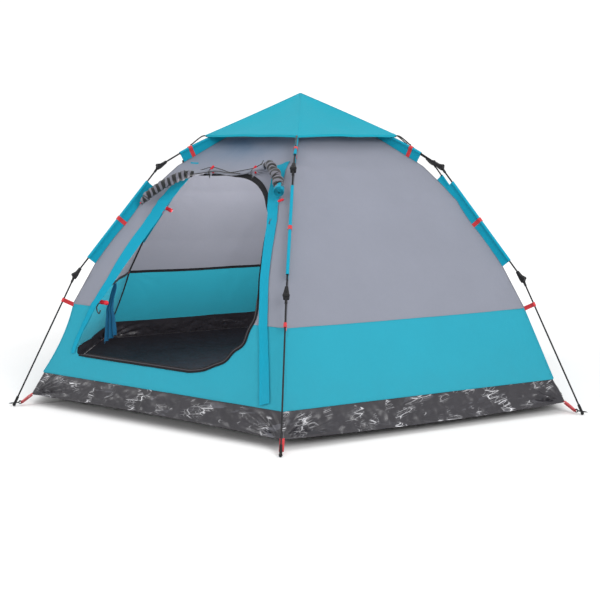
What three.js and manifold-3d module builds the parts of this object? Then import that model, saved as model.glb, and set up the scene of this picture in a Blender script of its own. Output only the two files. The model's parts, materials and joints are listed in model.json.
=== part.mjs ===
// Six-legged quick-up tent: a folding umbrella frame of eighteen poles carries a hexagonal canopy,
// a floor tub and a roof cap. Millimetres, +Z up, origin on the ground under the hub, door facing -Y.
import * as THREE from "three";
import { mergeVertices } from "three/addons/utils/BufferGeometryUtils.js";
import Module from "manifold-3d";

const wasm = await Module();
wasm.setup();

// ---------------------------------------------------------------- driving dimensions
const LEGS = 6;
const GAP = 0.3; // clearance between neighbouring pieces
const FAR = 60; // beyond any hub, knuckle or foot surface, for the solids that cut them

// Leg skeleton in a leg's own upright plane: [distance from the centre line, height].
const HUB_EYE = [40, 1400];
const UPPER_PIN = [804, 1136];
const LOWER_PIN = [1243, 616];
const FOOT_TIP = [1555, 0];

const UPPER_RISE = 0.53; // angle below the horizontal of the bowed upper pole's axis at its knuckle
const HUB_RISE = 0.155; // and at the hub's ring

const POLE_R = 4;
const PIN_OFFSET = 6; // how far the knuckle pin lies outward of the pole's axis
const PIN_R = 3;
const PIN_HEAD_R = 4.8;
const PIN_HEAD = 1.6;
const SOCKET_R = 6;
const BORE_R = POLE_R + GAP;

// Knuckle housing, measured from its pin along the upper of its two poles.
const HOUSING_BACK = 46;
const HOUSING_LIP = 13;
const HOUSING_BELOW = 17;
const HOUSING_BORE_END = 14;
const HOUSING_KEEL = 4; // where the keel under the pin starts
const HOUSING_SLOT_END = 20; // how far back the slot is open on top, so that the tongue folds over
const LIP_TOP = -4;
const EAR_R = 8.5;
const EAR_ARC = [-0.2, 2.4];
const CHEEK_SPAN = [-6, 5];
const CHEEK_HALF = 13.5;
const LIP_HALF = 11;
const NECK_HALF = 6.6;
const SLOT_HALF = 5;

// Knuckle tongue, measured from its pin along the lower pole.
const TONGUE_HALF = SLOT_HALF - GAP;
const TONGUE_EYE_R = 7.5;
const TONGUE_TOP = -0.5;
const TONGUE_UNDER = -10.5;
const TONGUE_SOCKET = [18, 36];
const TONGUE_BORE_END = 20;

// Hub
const HUB_R = 52;
const HUB_COVER_R = 54;
const HUB_SHOULDER = [31, 11];
const HUB_SLOT_HALF = 4.5;
const HUB_SLOT_START = 28;
const HUB_BODY_DEPTH = 13;
const HUB_RIM = 6;
const HUB_DOME = 12;
const HUB_SLOT_ROOF = 7.5;
const RING_R = 2;
const RING_SIDES = 12;
const RIVET_R = 3;
const RIVET_HEAD_R = 7;
const RIVET_HEAD = 3.5;
const EYE_R = 6;
const EYE_HALF = 3.5;
const EYE_BORE_R = 2.5;
const EYE_NECK_HALF = 3.5;
const BOW_STEPS = 9;

// Foot
const BALL_R = 8.5;
const BALL_HEIGHT = 8;
const CAP_R = 6.6;
const CAP_TOP = 52;
const CAP_FLOOR = 16;
const PEG_R = 3;
const PEG_HEIGHT = 16;
const PEG_OUT = 18;
const PEG_POINT = 12;
const PEG_TIP_R = 0.75;
const PEG_IN = 20;
const LOOP_R = 9;
const LOOP_HOLE_R = 5;
const LOOP_HALF = 3;

// Canopy corner line, [distance from the centre line, height], from the tub's top to the roof vent.
const TUB_TOP = [1405, 155];
const SEAM = [1247, 479];
const FLANK = [1134, 665];
const SHOULDER = [901, 968];
const EAVE = [700, 1132];
const VENT = [430, 1275];
const VENT_TOP = [66, 1352];
const MESH_HEM = 0.9;
const FLOOR_CORNER = [1467, 49];
const FLOOR_FLAT_R = 1180;
const CLOTH = [2, 1.5]; // inward and downward shift that gives the cloth solids their thickness
const TUB_UNDERLAP = [0.5, -2]; // from the canopy's lower edge to the tub's upper edge
const FLOOR_HEM = [-9, -8]; // from the tub's floor corner to the floor's edge
const FLOOR_STRAP_ROOT = [-4, -8]; // from the tub's floor corner to the strap's lower edge
const FLOOR_STRAP_HEAD = [-1, 6]; // and to its upper edge
const FLOOR_BASE = 0.5;
const FLOOR_TOP = 3;

// Pole sleeves and the webs that join them to the canopy's corners.
const SLEEVE_R = 7.2;
const SLEEVE_BORE_R = 5.4;
const BORE_OVERRUN = 5;
const WEB_HALF = 1.1;
const UPPER_WEB_SLANT = 30; // how far the web's lower corner lies inward of the sleeve's outer end
const MIDDLE_WEB = 60; // depth from the pole's axis
const UPPER_SLEEVE = [0.11, 0.5]; // start and end, as shares of the upper pole's bow
const SLEEVE_STEPS = 5;
const WEB_SINK = 2; // how far the web reaches under the canopy's corner
const MIDDLE_SLEEVE = [96, 572]; // measured on from the upper pin
const SEAM_STRAP_AT = 130; // measured on from the lower pin
const SEAM_WEB = 58;
const STRAP_HALF = 10;
const WEBBING_HALF_THICK = 1;

// Roof cap
const CAP_APEX = 1500;
const CAP_EAVE = [548, 1284];
const CAP_THICK = 2;
const CAP_HEM = 11;

// Door opening in the wall that faces -Y.
const DOOR_SILL = 248;
const DOOR_TOP = 1100;
const DOOR_CUT = [-1400, -420]; // how far the cutting prism runs along Y

// Rolled door, hung in front of the door's top edge.
const ROLL_R = 24;
const ROLL_PROUD = 48;
const ROLL_STEPS = 16;
const ROLL_SIDES = 10;
const ROLL_LINE = [
  [-395, 962],
  [-371, 1008],
  [-327, 1053],
  [-270, 1082],
  [-185, 1108],
  [-50, 1114],
  [120, 1122],
  [215, 1136],
  [285, 1122],
  [335, 1085],
  [366, 1042],
];

// Gathered inner door, hung inside the door's left edge: its lower and upper end in X and Z.
const GATHER_R = 16;
const GATHER_STEPS = 2;
const GATHER_INSIDE = 52;
const GATHER_LOW = [-400, 330];
const GATHER_HIGH = [-450, 590];

// Zip slider on the door's right edge.
const SLIDER = [9, 3, 16];
const SLIDER_PULL = [3, 1.2, 24];
const SLIDER_GAP = 1;
const ZIP_TOP = [352, 905];
const ZIP_FOOT = [440, 690];

const SEGMENTS = { pole: 10, pin: 8, socket: 10, sleeve: 6, hub: 24, ball: 8, arc: 3 };

// ---------------------------------------------------------------- materials
const material = (color, roughness, metalness = 0) =>
  new THREE.MeshStandardMaterial({ color, roughness, metalness });

const poleMaterial = material(0x1b1c1e, 0.42);
const knuckleMaterial = material(0x232426, 0.55);
const rivetMaterial = material(0xc9ccd0, 0.3, 0.9);
const footMaterial = material(0x1a1b1c, 0.6);
const greyCloth = material(0x9da1ad, 0.85);
const blueCloth = material(0x2fb3d3, 0.8);
const meshCloth = material(0x2a2c30, 0.95);
const floorCloth = material(0x2c2c30, 0.5);
const tubFilm = material(0x3b3a3f, 0.3);

// ---------------------------------------------------------------- solids
// A closed three.js geometry as a solid that can be joined and cut.
function solid(geometry) {
  const bare = geometry.index ? geometry.clone() : geometry;
  bare.deleteAttribute("normal");
  bare.deleteAttribute("uv");
  const merged = mergeVertices(bare, 1e-3);
  return new wasm.Manifold(
    new wasm.Mesh({
      numProp: 3,
      vertProperties: merged.attributes.position.array,
      triVerts: new Uint32Array(merged.index.array),
    }),
  );
}

// A solid back as a three.js geometry.
function geometryOf(body) {
  const mesh = body.getMesh();
  const geometry = new THREE.BufferGeometry();
  geometry.setAttribute("position", new THREE.BufferAttribute(mesh.vertProperties, 3));
  geometry.setIndex(new THREE.BufferAttribute(mesh.triVerts, 1));
  geometry.computeVertexNormals();
  return geometry;
}

const joined = (first, ...rest) => rest.reduce((all, next) => all.add(next), first);
const cut = (body, ...tools) => tools.reduce((left, tool) => left.subtract(tool), body);

function named(name, body, finish) {
  const mesh = new THREE.Mesh(geometryOf(body), finish);
  mesh.name = name;
  return mesh;
}

const block = (x0, x1, y0, y1, z0, z1) =>
  new THREE.BoxGeometry(x1 - x0, y1 - y0, z1 - z0).translate(
    (x0 + x1) / 2,
    (y0 + y1) / 2,
    (z0 + z1) / 2,
  );

// A round bar along X from x0 to x1, at height z.
const barAlong = (radius, x0, x1, z, segments, endRadius = radius) =>
  new THREE.CylinderGeometry(endRadius, radius, x1 - x0, segments)
    .rotateZ(-Math.PI / 2)
    .translate((x0 + x1) / 2, 0, z);

// A round bar along Y through [x, z].
const barAcross = (radius, half, [x, z], segments) =>
  new THREE.CylinderGeometry(radius, radius, 2 * half, segments).translate(x, 0, z);

// A round bar along Z.
const barUp = (radius, z0, z1, segments) =>
  new THREE.CylinderGeometry(radius, radius, z1 - z0, segments)
    .rotateX(Math.PI / 2)
    .translate(0, 0, (z0 + z1) / 2);

// A side outline drawn in X and Z, given thickness along Y.
function plateAcross(outline, half) {
  return new THREE.ExtrudeGeometry(outline, {
    depth: 2 * half,
    bevelEnabled: false,
    curveSegments: SEGMENTS.arc,
  })
    .rotateX(Math.PI / 2)
    .translate(0, half, 0);
}

// A plan outline drawn in X and Y, from height z0 to z1.
function plateUp(outline, z0, z1) {
  return new THREE.ExtrudeGeometry(outline, {
    depth: z1 - z0,
    bevelEnabled: false,
    curveSegments: SEGMENTS.arc,
  }).translate(0, 0, z0);
}

function polygon(points) {
  const shape = new THREE.Shape();
  points.forEach(([x, y], i) => (i ? shape.lineTo(x, y) : shape.moveTo(x, y)));
  shape.closePath();
  return shape;
}

// A profile of [distance, height] turned about Z. With six segments its corners stand on the legs;
// turn moves them on.
function turned(profile, segments, turn = 0) {
  const points = profile.map(([r, z]) => new THREE.Vector2(r, z));
  return new THREE.LatheGeometry(points, segments, Math.PI / 2 + turn).rotateX(Math.PI / 2);
}

// A six-cornered sheet under the given corner line, open at both ends.
function hexSheet(line) {
  const under = line.map(([r, z]) => [r - CLOTH[0], z - CLOTH[1]]).reverse();
  return turned([...line, ...under, line[0]], LEGS);
}

// ---------------------------------------------------------------- leg skeleton
const legTurn = (i) => (i * 2 * Math.PI) / LEGS;

// The angle below the horizontal of a pole whose axis passes `near` and `far` inside its end points.
function poleAngle(from, to, near, far) {
  const run = to[0] - from[0];
  const drop = from[1] - to[1];
  return Math.atan2(drop, run) + Math.asin((far - near) / Math.hypot(run, drop));
}

const poleSpan = (from, to, difference) =>
  Math.sqrt((to[0] - from[0]) ** 2 + (to[1] - from[1]) ** 2 - difference ** 2);

const MIDDLE_ANGLE = poleAngle(UPPER_PIN, LOWER_PIN, PIN_OFFSET, PIN_OFFSET);
const LOWER_ANGLE = poleAngle(LOWER_PIN, FOOT_TIP, PIN_OFFSET, 0);
const MIDDLE_SPAN = poleSpan(UPPER_PIN, LOWER_PIN, 0);
const LOWER_SPAN = poleSpan(LOWER_PIN, FOOT_TIP, PIN_OFFSET);

// A group at a leg point, its +X running along a pole and its +Z pointing out of the tent.
function poleFrame([r, z], angle, ...pieces) {
  const frame = new THREE.Group();
  frame.position.set(r, 0, z);
  frame.rotation.y = angle;
  frame.add(...pieces);
  return frame;
}

// Geometry drawn in a pole's frame, moved into the leg's frame.
const fromPole = (geometry, [r, z], angle) => geometry.rotateY(angle).translate(r, 0, z);

// A point in the leg's frame, `along` a pole and `out` of the tent from the given place.
const besidePole = ([r, z], angle, along, out) =>
  new THREE.Vector3(
    r + along * Math.cos(angle) + out * Math.sin(angle),
    0,
    z - along * Math.sin(angle) + out * Math.cos(angle),
  );

// The axis of the upper pole between its knuckle and its eye: it leaves each of them straight.
function upperBow() {
  const foot = besidePole(UPPER_PIN, UPPER_RISE, -HOUSING_BACK, -PIN_OFFSET);
  const head = besidePole(HUB_EYE, HUB_RISE, 2 * EYE_R, 0);
  const [sinFoot, cosFoot] = [Math.sin(UPPER_RISE), Math.cos(UPPER_RISE)];
  const [sinHead, cosHead] = [Math.sin(HUB_RISE), Math.cos(HUB_RISE)];
  const [run, rise] = [foot.x - head.x, head.z - foot.z];
  const reach = (rise * cosHead - run * sinHead) / (sinFoot * cosHead - cosFoot * sinHead);
  const bend = new THREE.Vector3(foot.x - reach * cosFoot, 0, foot.z + reach * sinFoot);
  return new THREE.QuadraticBezierCurve3(foot, bend, head);
}

// A round bar along a curve.
function barOnCurve(curve, radius, steps, sides) {
  const ring = new THREE.Shape();
  ring.absarc(0, 0, radius, 0, 2 * Math.PI, false);
  return new THREE.ExtrudeGeometry(ring, {
    extrudePath: curve,
    steps,
    curveSegments: sides / 2,
    bevelEnabled: false,
  });
}

// ---------------------------------------------------------------- knuckles
function housingSide() {
  const outline = new THREE.Shape();
  const top = -PIN_OFFSET + SOCKET_R;
  outline.moveTo(-HOUSING_BACK, -PIN_OFFSET - SOCKET_R);
  outline.lineTo(-HOUSING_KEEL, -HOUSING_BELOW);
  outline.lineTo(HOUSING_LIP, -HOUSING_BELOW);
  outline.lineTo(HOUSING_LIP, LIP_TOP);
  outline.absarc(0, 0, EAR_R, ...EAR_ARC, false);
  outline.lineTo(-HOUSING_SLOT_END, top);
  outline.lineTo(-HOUSING_BACK, top);
  outline.closePath();
  return outline;
}

function housingPlan() {
  const outline = new THREE.Shape();
  const [back, front] = CHEEK_SPAN;
  outline.moveTo(-HOUSING_BACK, -NECK_HALF);
  outline.lineTo(back, -CHEEK_HALF);
  outline.lineTo(front, -CHEEK_HALF);
  outline.quadraticCurveTo(HOUSING_LIP, -CHEEK_HALF, HOUSING_LIP, -LIP_HALF);
  outline.lineTo(HOUSING_LIP, LIP_HALF);
  outline.quadraticCurveTo(HOUSING_LIP, CHEEK_HALF, front, CHEEK_HALF);
  outline.lineTo(back, CHEEK_HALF);
  outline.lineTo(-HOUSING_BACK, NECK_HALF);
  outline.closePath();
  return outline;
}

// The forked half of a knuckle. Its floor stops the tongue, which is bent inward by `bend` at rest.
function knuckleHousing(bend) {
  const side = solid(plateAcross(housingSide(), FAR));
  const plan = solid(plateUp(housingPlan(), -FAR, FAR));
  const roomR = (TONGUE_EYE_R + GAP) / Math.cos(Math.PI / SEGMENTS.socket);
  const eyeRoom = solid(barAcross(roomR, SLOT_HALF, [0, 0], SEGMENTS.socket));
  const openTop = solid(
    block(-HOUSING_SLOT_END, FAR, -SLOT_HALF, SLOT_HALF, TONGUE_TOP - GAP, FAR),
  );
  const bladeRoom = solid(
    block(0, FAR, -SLOT_HALF, SLOT_HALF, TONGUE_UNDER - GAP, FAR).rotateY(bend),
  );
  const socketHalf = SOCKET_R + GAP;
  const socketStart = TONGUE_SOCKET[0] - GAP;
  const socketRoom = solid(
    block(socketStart, FAR, -socketHalf, socketHalf, -PIN_OFFSET - socketHalf, FAR).rotateY(bend),
  );
  const pinHole = solid(barAcross(PIN_R + GAP, FAR, [0, 0], SEGMENTS.pin));
  const bore = solid(barAlong(BORE_R, -FAR, -HOUSING_BORE_END, -PIN_OFFSET, SEGMENTS.pole));
  return cut(side.intersect(plan), eyeRoom, openTop, bladeRoom, socketRoom, pinHole, bore);
}

// The swinging half of a knuckle, with the rivet that it turns on.
function knuckleTongue() {
  const eye = solid(barAcross(TONGUE_EYE_R, TONGUE_HALF, [0, 0], SEGMENTS.socket));
  const neck = solid(
    block(0, TONGUE_BORE_END, -TONGUE_HALF, TONGUE_HALF, TONGUE_UNDER, TONGUE_TOP),
  );
  const socket = solid(barAlong(SOCKET_R, ...TONGUE_SOCKET, -PIN_OFFSET, SEGMENTS.socket));
  const rivet = solid(barAcross(PIN_R, CHEEK_HALF + 1, [0, 0], SEGMENTS.pin));
  const headAt = CHEEK_HALF + GAP + PIN_HEAD / 2;
  const head = (side) =>
    solid(
      barAcross(PIN_HEAD_R, PIN_HEAD / 2, [0, 0], SEGMENTS.pin).translate(0, side * headAt, 0),
    );
  const bore = solid(barAlong(BORE_R, TONGUE_BORE_END, FAR, -PIN_OFFSET, SEGMENTS.pole));
  return cut(joined(eye, neck, socket, rivet, head(1), head(-1)), bore);
}

// ---------------------------------------------------------------- poles
const poleRod = (start, end) =>
  solid(barAlong(POLE_R, start + GAP, end - GAP, -PIN_OFFSET, SEGMENTS.pole));

// The upper pole, in the leg's frame. It ends in a flattened eye that hooks on the hub's ring.
function upperPole() {
  const eyeAt = [0, 0];
  const atHub = (geometry) => solid(fromPole(geometry, HUB_EYE, HUB_RISE));
  const bow = solid(barOnCurve(upperBow(), POLE_R, BOW_STEPS, SEGMENTS.pole));
  const end = barAlong(
    POLE_R,
    -HOUSING_BACK - GAP,
    -HOUSING_BORE_END - GAP,
    -PIN_OFFSET,
    SEGMENTS.pole,
  );
  const tip = atHub(barAlong(POLE_R, EYE_R, 2 * EYE_R + GAP, 0, SEGMENTS.pole));
  const eye = atHub(barAcross(EYE_R, EYE_HALF, eyeAt, SEGMENTS.socket));
  const neck = atHub(
    block(0, 2 * EYE_R, -EYE_HALF, EYE_HALF, -EYE_NECK_HALF, EYE_NECK_HALF),
  );
  const bore = atHub(barAcross(EYE_BORE_R, FAR, eyeAt, SEGMENTS.pin));
  return cut(joined(bow, solid(fromPole(end, UPPER_PIN, UPPER_RISE)), tip, neck, eye), bore);
}

// ---------------------------------------------------------------- foot
// Drawn in the leg's frame, about the foot's tip.
function footPiece() {
  const toPole = (geometry) => geometry.rotateY(Math.PI + LOWER_ANGLE);
  const ballOut = -BALL_HEIGHT / Math.tan(LOWER_ANGLE);
  const pegOut = -PEG_HEIGHT / Math.tan(LOWER_ANGLE);
  const ball = solid(
    new THREE.SphereGeometry(BALL_R, SEGMENTS.ball, SEGMENTS.ball / 2)
      .rotateX(Math.PI / 2)
      .translate(ballOut, 0, BALL_HEIGHT),
  );
  const cap = solid(toPole(barAlong(CAP_R, BALL_HEIGHT, CAP_TOP, 0, SEGMENTS.socket)));
  const peg = solid(
    barAlong(PEG_R, pegOut - PEG_IN, pegOut + PEG_OUT, PEG_HEIGHT, SEGMENTS.pin),
  );
  const point = solid(
    barAlong(
      PEG_R,
      pegOut + PEG_OUT - GAP,
      pegOut + PEG_OUT + PEG_POINT,
      PEG_HEIGHT,
      SEGMENTS.pin,
      PEG_TIP_R,
    ),
  );
  const loopAt = [pegOut - PEG_IN - LOOP_HOLE_R, PEG_HEIGHT];
  const loop = solid(barAcross(LOOP_R, LOOP_HALF, loopAt, SEGMENTS.socket));
  const loopHole = solid(barAcross(LOOP_HOLE_R, FAR, loopAt, SEGMENTS.socket));
  const bore = solid(toPole(barAlong(BORE_R, CAP_FLOOR, FAR, 0, SEGMENTS.pole)));
  const below = solid(block(-FAR, FAR, -FAR, FAR, -FAR, 0));
  const pegAndLoop = cut(joined(peg, point, loop), loopHole);
  return cut(joined(ball, cap, pegAndLoop), bore, below);
}

// ---------------------------------------------------------------- hub
const hexRing = (radius) => {
  const corner = HUB_EYE[0] / Math.cos(Math.PI / LEGS);
  const profile = [];
  for (let i = 0; i <= RING_SIDES; i++) {
    const a = (2 * Math.PI * (i % RING_SIDES)) / RING_SIDES;
    profile.push([corner + radius * Math.cos(a), radius * Math.sin(a)]);
  }
  return solid(turned(profile, LEGS, Math.PI / LEGS));
};

const hubSlots = (z0, z1) =>
  Array.from({ length: LEGS }, (_, i) =>
    solid(
      block(HUB_SLOT_START, HUB_R + FAR, -HUB_SLOT_HALF, HUB_SLOT_HALF, z0, z1).rotateZ(
        legTurn(i),
      ),
    ),
  );

const rivetBore = () => solid(barUp(RIVET_R + GAP, -FAR, FAR, SEGMENTS.pin));

function hubBody() {
  const plate = solid(barUp(HUB_R, -HUB_BODY_DEPTH, -GAP / 2, SEGMENTS.hub));
  return cut(plate, hexRing(RING_R + GAP), ...hubSlots(-FAR, FAR), rivetBore());
}

function hubCover() {
  const dome = [
    [0, GAP / 2],
    [HUB_COVER_R, GAP / 2],
    [HUB_COVER_R, HUB_RIM],
    HUB_SHOULDER,
    [RIVET_HEAD_R + 4, HUB_DOME],
    [0, HUB_DOME],
  ];
  const shell = solid(turned(dome, SEGMENTS.hub));
  return cut(shell, hexRing(RING_R + GAP), ...hubSlots(-FAR, HUB_SLOT_ROOF), rivetBore());
}

function hubRivet() {
  const shank = solid(barUp(RIVET_R, -HUB_BODY_DEPTH - 1, HUB_DOME + 1, SEGMENTS.pin));
  const top = solid(
    barUp(RIVET_HEAD_R, HUB_DOME + GAP, HUB_DOME + GAP + RIVET_HEAD, SEGMENTS.socket),
  );
  const bottom = solid(
    barUp(
      RIVET_HEAD_R,
      -HUB_BODY_DEPTH - GAP - RIVET_HEAD,
      -HUB_BODY_DEPTH - GAP,
      SEGMENTS.socket,
    ),
  );
  return joined(shank, top, bottom);
}

// ---------------------------------------------------------------- cloth
// The sleeve on the bowed upper pole and the web that sews it to the canopy's corner.
function upperSleeve() {
  const line = sleeveLine(...UPPER_SLEEVE);
  const tube = barOnCurve(
    new THREE.CatmullRomCurve3(line),
    SLEEVE_R,
    SLEEVE_STEPS,
    SEGMENTS.sleeve,
  );
  const corner = (r) => VENT[1] + ((VENT[0] - r) * (VENT[1] - EAVE[1])) / (EAVE[0] - VENT[0]);
  const [outer, inner] = [line[0], line[line.length - 1]];
  const seam = [outer.x - UPPER_WEB_SLANT, Math.max(inner.x, VENT[0])];
  const web = polygon([
    ...line.map(({ x, z }) => [x, z]),
    ...seam.reverse().map((r) => [r, corner(r) - WEB_SINK]),
  ]);
  return joined(solid(tube), solid(plateAcross(web, WEB_HALF)));
}

// Points on the upper pole's axis between two shares of its bow.
const sleeveLine = (start, end) =>
  Array.from({ length: SLEEVE_STEPS + 1 }, (_, i) =>
    upperBow().getPointAt(start + ((end - start) * i) / SLEEVE_STEPS),
  );

function upperSleeveBore() {
  const over = BORE_OVERRUN / upperBow().getLength();
  const line = sleeveLine(UPPER_SLEEVE[0] - over, UPPER_SLEEVE[1] + over);
  const curve = new THREE.CatmullRomCurve3(line);
  return solid(barOnCurve(curve, SLEEVE_BORE_R, SLEEVE_STEPS, SEGMENTS.sleeve));
}

// A sleeve round a straight pole and its web, in the leg's frame.
function sleeve(at, angle, start, end, webDepth) {
  const tube = barAlong(SLEEVE_R, start, end, -PIN_OFFSET, SEGMENTS.sleeve);
  const web = polygon([
    [start, -PIN_OFFSET],
    [end, -PIN_OFFSET],
    [end, -PIN_OFFSET - webDepth],
    [start, -PIN_OFFSET - webDepth],
  ]);
  return joined(
    solid(fromPole(tube, at, angle)),
    solid(fromPole(plateAcross(web, WEB_HALF), at, angle)),
  );
}

const sleeveBore = (at, angle, start, end) =>
  solid(
    fromPole(
      barAlong(
        SLEEVE_BORE_R,
        start - BORE_OVERRUN,
        end + BORE_OVERRUN,
        -PIN_OFFSET,
        SEGMENTS.sleeve,
      ),
      at,
      angle,
    ),
  );

// The strap that ties the canopy's seam corner to the lower pole.
function seamStrap() {
  const start = SEAM_STRAP_AT - STRAP_HALF;
  const end = SEAM_STRAP_AT + STRAP_HALF;
  const plate = block(
    start,
    end,
    -WEBBING_HALF_THICK,
    WEBBING_HALF_THICK,
    -PIN_OFFSET - SEAM_WEB,
    -PIN_OFFSET,
  );
  return joined(
    solid(fromPole(plate, LOWER_PIN, LOWER_ANGLE)),
    solid(
      fromPole(
        barAlong(SLEEVE_R, start, end, -PIN_OFFSET, SEGMENTS.sleeve),
        LOWER_PIN,
        LOWER_ANGLE,
      ),
    ),
  );
}

// Everything that the canopy holds against one leg, and the room for that leg's poles.
const legCloth = () => [
  upperSleeve(),
  sleeve(UPPER_PIN, MIDDLE_ANGLE, ...MIDDLE_SLEEVE, MIDDLE_WEB),
  seamStrap(),
];

const legRoom = () => [
  upperSleeveBore(),
  sleeveBore(UPPER_PIN, MIDDLE_ANGLE, ...MIDDLE_SLEEVE),
  sleeveBore(
    LOWER_PIN,
    LOWER_ANGLE,
    SEAM_STRAP_AT - STRAP_HALF,
    SEAM_STRAP_AT + STRAP_HALF,
  ),
];

// The same solids on all six legs. Each solid is turned about Z by the leg's angle in degrees.
const onEveryLeg = (make) =>
  Array.from({ length: LEGS }, (_, i) =>
    make().map((body) => body.rotate([0, 0, THREE.MathUtils.radToDeg(legTurn(i))])),
  ).flat();

// The door's outline, drawn in X and Z: a leaning D whose left edge runs along the wall's corner.
function doorOutline() {
  const outline = new THREE.Shape();
  outline.moveTo(-490, DOOR_SILL);
  outline.lineTo(150, DOOR_SILL);
  outline.bezierCurveTo(330, 262, 462, 380, 452, 540);
  outline.lineTo(331, 923);
  outline.bezierCurveTo(300, 1010, 190, DOOR_TOP, 40, DOOR_TOP);
  outline.lineTo(-200, DOOR_TOP);
  outline.quadraticCurveTo(-234, DOOR_TOP, -245, 1060);
  outline.lineTo(-400, 657);
  outline.lineTo(-541, 350);
  outline.quadraticCurveTo(-560, DOOR_SILL, -490, DOOR_SILL);
  return outline;
}

function doorCutter() {
  const prism = plateAcross(doorOutline(), (DOOR_CUT[1] - DOOR_CUT[0]) / 2);
  return solid(prism.translate(0, (DOOR_CUT[0] + DOOR_CUT[1]) / 2, 0));
}

function canopy() {
  const walls = solid(hexSheet([TUB_TOP, SEAM, FLANK, SHOULDER, EAVE, VENT]));
  return cut(joined(walls, ...onEveryLeg(legCloth)), ...onEveryLeg(legRoom), doorCutter());
}

function meshRoof() {
  const edge = [VENT[0] - MESH_HEM, VENT[1] + GAP];
  return solid(hexSheet([edge, VENT_TOP]));
}

// The tub's side wall, with a strap from each floor corner to its foot's loop.
function tubWall() {
  const top = [TUB_TOP[0] + TUB_UNDERLAP[0], TUB_TOP[1] + TUB_UNDERLAP[1]];
  const wall = solid(hexSheet([FLOOR_CORNER, top]));
  const loopOut =
    FOOT_TIP[0] - PEG_HEIGHT / Math.tan(LOWER_ANGLE) - PEG_IN - LOOP_HOLE_R - LOOP_R - GAP;
  const strap = polygon([
    [FLOOR_CORNER[0] + FLOOR_STRAP_ROOT[0], FLOOR_CORNER[1] + FLOOR_STRAP_ROOT[1]],
    [loopOut, PEG_HEIGHT - WEBBING_HALF_THICK],
    [loopOut, PEG_HEIGHT + WEBBING_HALF_THICK],
    [FLOOR_CORNER[0] + FLOOR_STRAP_HEAD[0], FLOOR_CORNER[1] + FLOOR_STRAP_HEAD[1]],
  ]);
  return joined(wall, ...onEveryLeg(() => [solid(plateAcross(strap, STRAP_HALF))]));
}

// The floor lies flat in the middle and rises to the raised corners.
function groundsheet() {
  const edge = [FLOOR_CORNER[0] + FLOOR_HEM[0], FLOOR_CORNER[1] + FLOOR_HEM[1]];
  const thick = FLOOR_TOP - FLOOR_BASE;
  const profile = [
    [0, FLOOR_BASE],
    [FLOOR_FLAT_R, FLOOR_BASE],
    edge,
    [edge[0] - thick, edge[1] + thick],
    [FLOOR_FLAT_R - thick, FLOOR_TOP],
    [0, FLOOR_TOP],
  ];
  return solid(turned(profile, LEGS));
}

function roofCap() {
  const profile = [
    [0, CAP_APEX - CAP_THICK],
    [CAP_EAVE[0] - 2 * CAP_THICK, CAP_EAVE[1] - CAP_THICK],
    [CAP_EAVE[0] - 2 * CAP_THICK, CAP_EAVE[1] - CAP_HEM],
    [CAP_EAVE[0] - CAP_THICK, CAP_EAVE[1] - CAP_HEM],
    CAP_EAVE,
    [0, CAP_APEX],
  ];
  return solid(turned(profile, LEGS));
}

// The distance of the door wall's outer face from the centre line at height z.
function wallOut(z) {
  const line = [TUB_TOP, SEAM, FLANK, SHOULDER, EAVE, VENT];
  const i = line.findIndex(([, top], k) => k > 0 && z <= top);
  const [[r0, z0], [r1, z1]] = [line[i - 1], line[i]];
  return (r0 + ((r1 - r0) * (z - z0)) / (z1 - z0)) * Math.cos(Math.PI / LEGS);
}

// The rolled-up door, held along the top of its opening with both ends hanging.
function rolledDoor() {
  const line = ROLL_LINE.map(([x, z]) => new THREE.Vector3(x, -wallOut(z) - ROLL_PROUD, z));
  return solid(barOnCurve(new THREE.CatmullRomCurve3(line), ROLL_R, ROLL_STEPS, ROLL_SIDES));
}

// The inner mesh door, gathered to the left of its opening and hanging inside the wall.
function gatheredDoor() {
  const point = ([x, z]) => new THREE.Vector3(x, -wallOut(z) + GATHER_INSIDE, z);
  const [low, high] = [point(GATHER_LOW), point(GATHER_HIGH)];
  const line = new THREE.LineCurve3(low, high);
  return solid(barOnCurve(line, GATHER_R, GATHER_STEPS, SEGMENTS.socket));
}

// The slider and its pull, flat on the wall beside the opening's right edge.
function zipSlider() {
  const [w, t, h] = SLIDER;
  const [pw, pt, ph] = SLIDER_PULL;
  const body = block(-w / 2, w / 2, -t, 0, -h / 2, h / 2);
  const pull = block(-pw / 2, pw / 2, -t - pt, -t / 2, -h / 2 - ph, -h / 4);
  return joined(solid(body), solid(pull));
}

// ---------------------------------------------------------------- assembly
function leg(i) {
  const number = i + 1;
  const group = new THREE.Group();
  group.rotation.z = legTurn(i);
  const upperBend = MIDDLE_ANGLE - UPPER_RISE;
  const lowerBend = LOWER_ANGLE - MIDDLE_ANGLE;
  group.add(
    named(`upper_pole_${number}`, upperPole(), poleMaterial),
    poleFrame(
      UPPER_PIN,
      UPPER_RISE,
      named(`upper_knuckle_${number}`, knuckleHousing(upperBend), knuckleMaterial),
    ),
    poleFrame(
      UPPER_PIN,
      MIDDLE_ANGLE,
      named(`upper_tongue_${number}`, knuckleTongue(), knuckleMaterial),
      named(
        `middle_pole_${number}`,
        poleRod(TONGUE_BORE_END, MIDDLE_SPAN - HOUSING_BORE_END),
        poleMaterial,
      ),
    ),
    poleFrame(
      LOWER_PIN,
      MIDDLE_ANGLE,
      named(`lower_knuckle_${number}`, knuckleHousing(lowerBend), knuckleMaterial),
    ),
    poleFrame(
      LOWER_PIN,
      LOWER_ANGLE,
      named(`lower_tongue_${number}`, knuckleTongue(), knuckleMaterial),
      named(
        `lower_pole_${number}`,
        poleRod(TONGUE_BORE_END, LOWER_SPAN - CAP_FLOOR),
        poleMaterial,
      ),
    ),
  );
  const foot = named(`foot_${number}`, footPiece(), footMaterial);
  foot.position.set(FOOT_TIP[0], 0, FOOT_TIP[1]);
  group.add(foot);
  return group;
}

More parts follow.
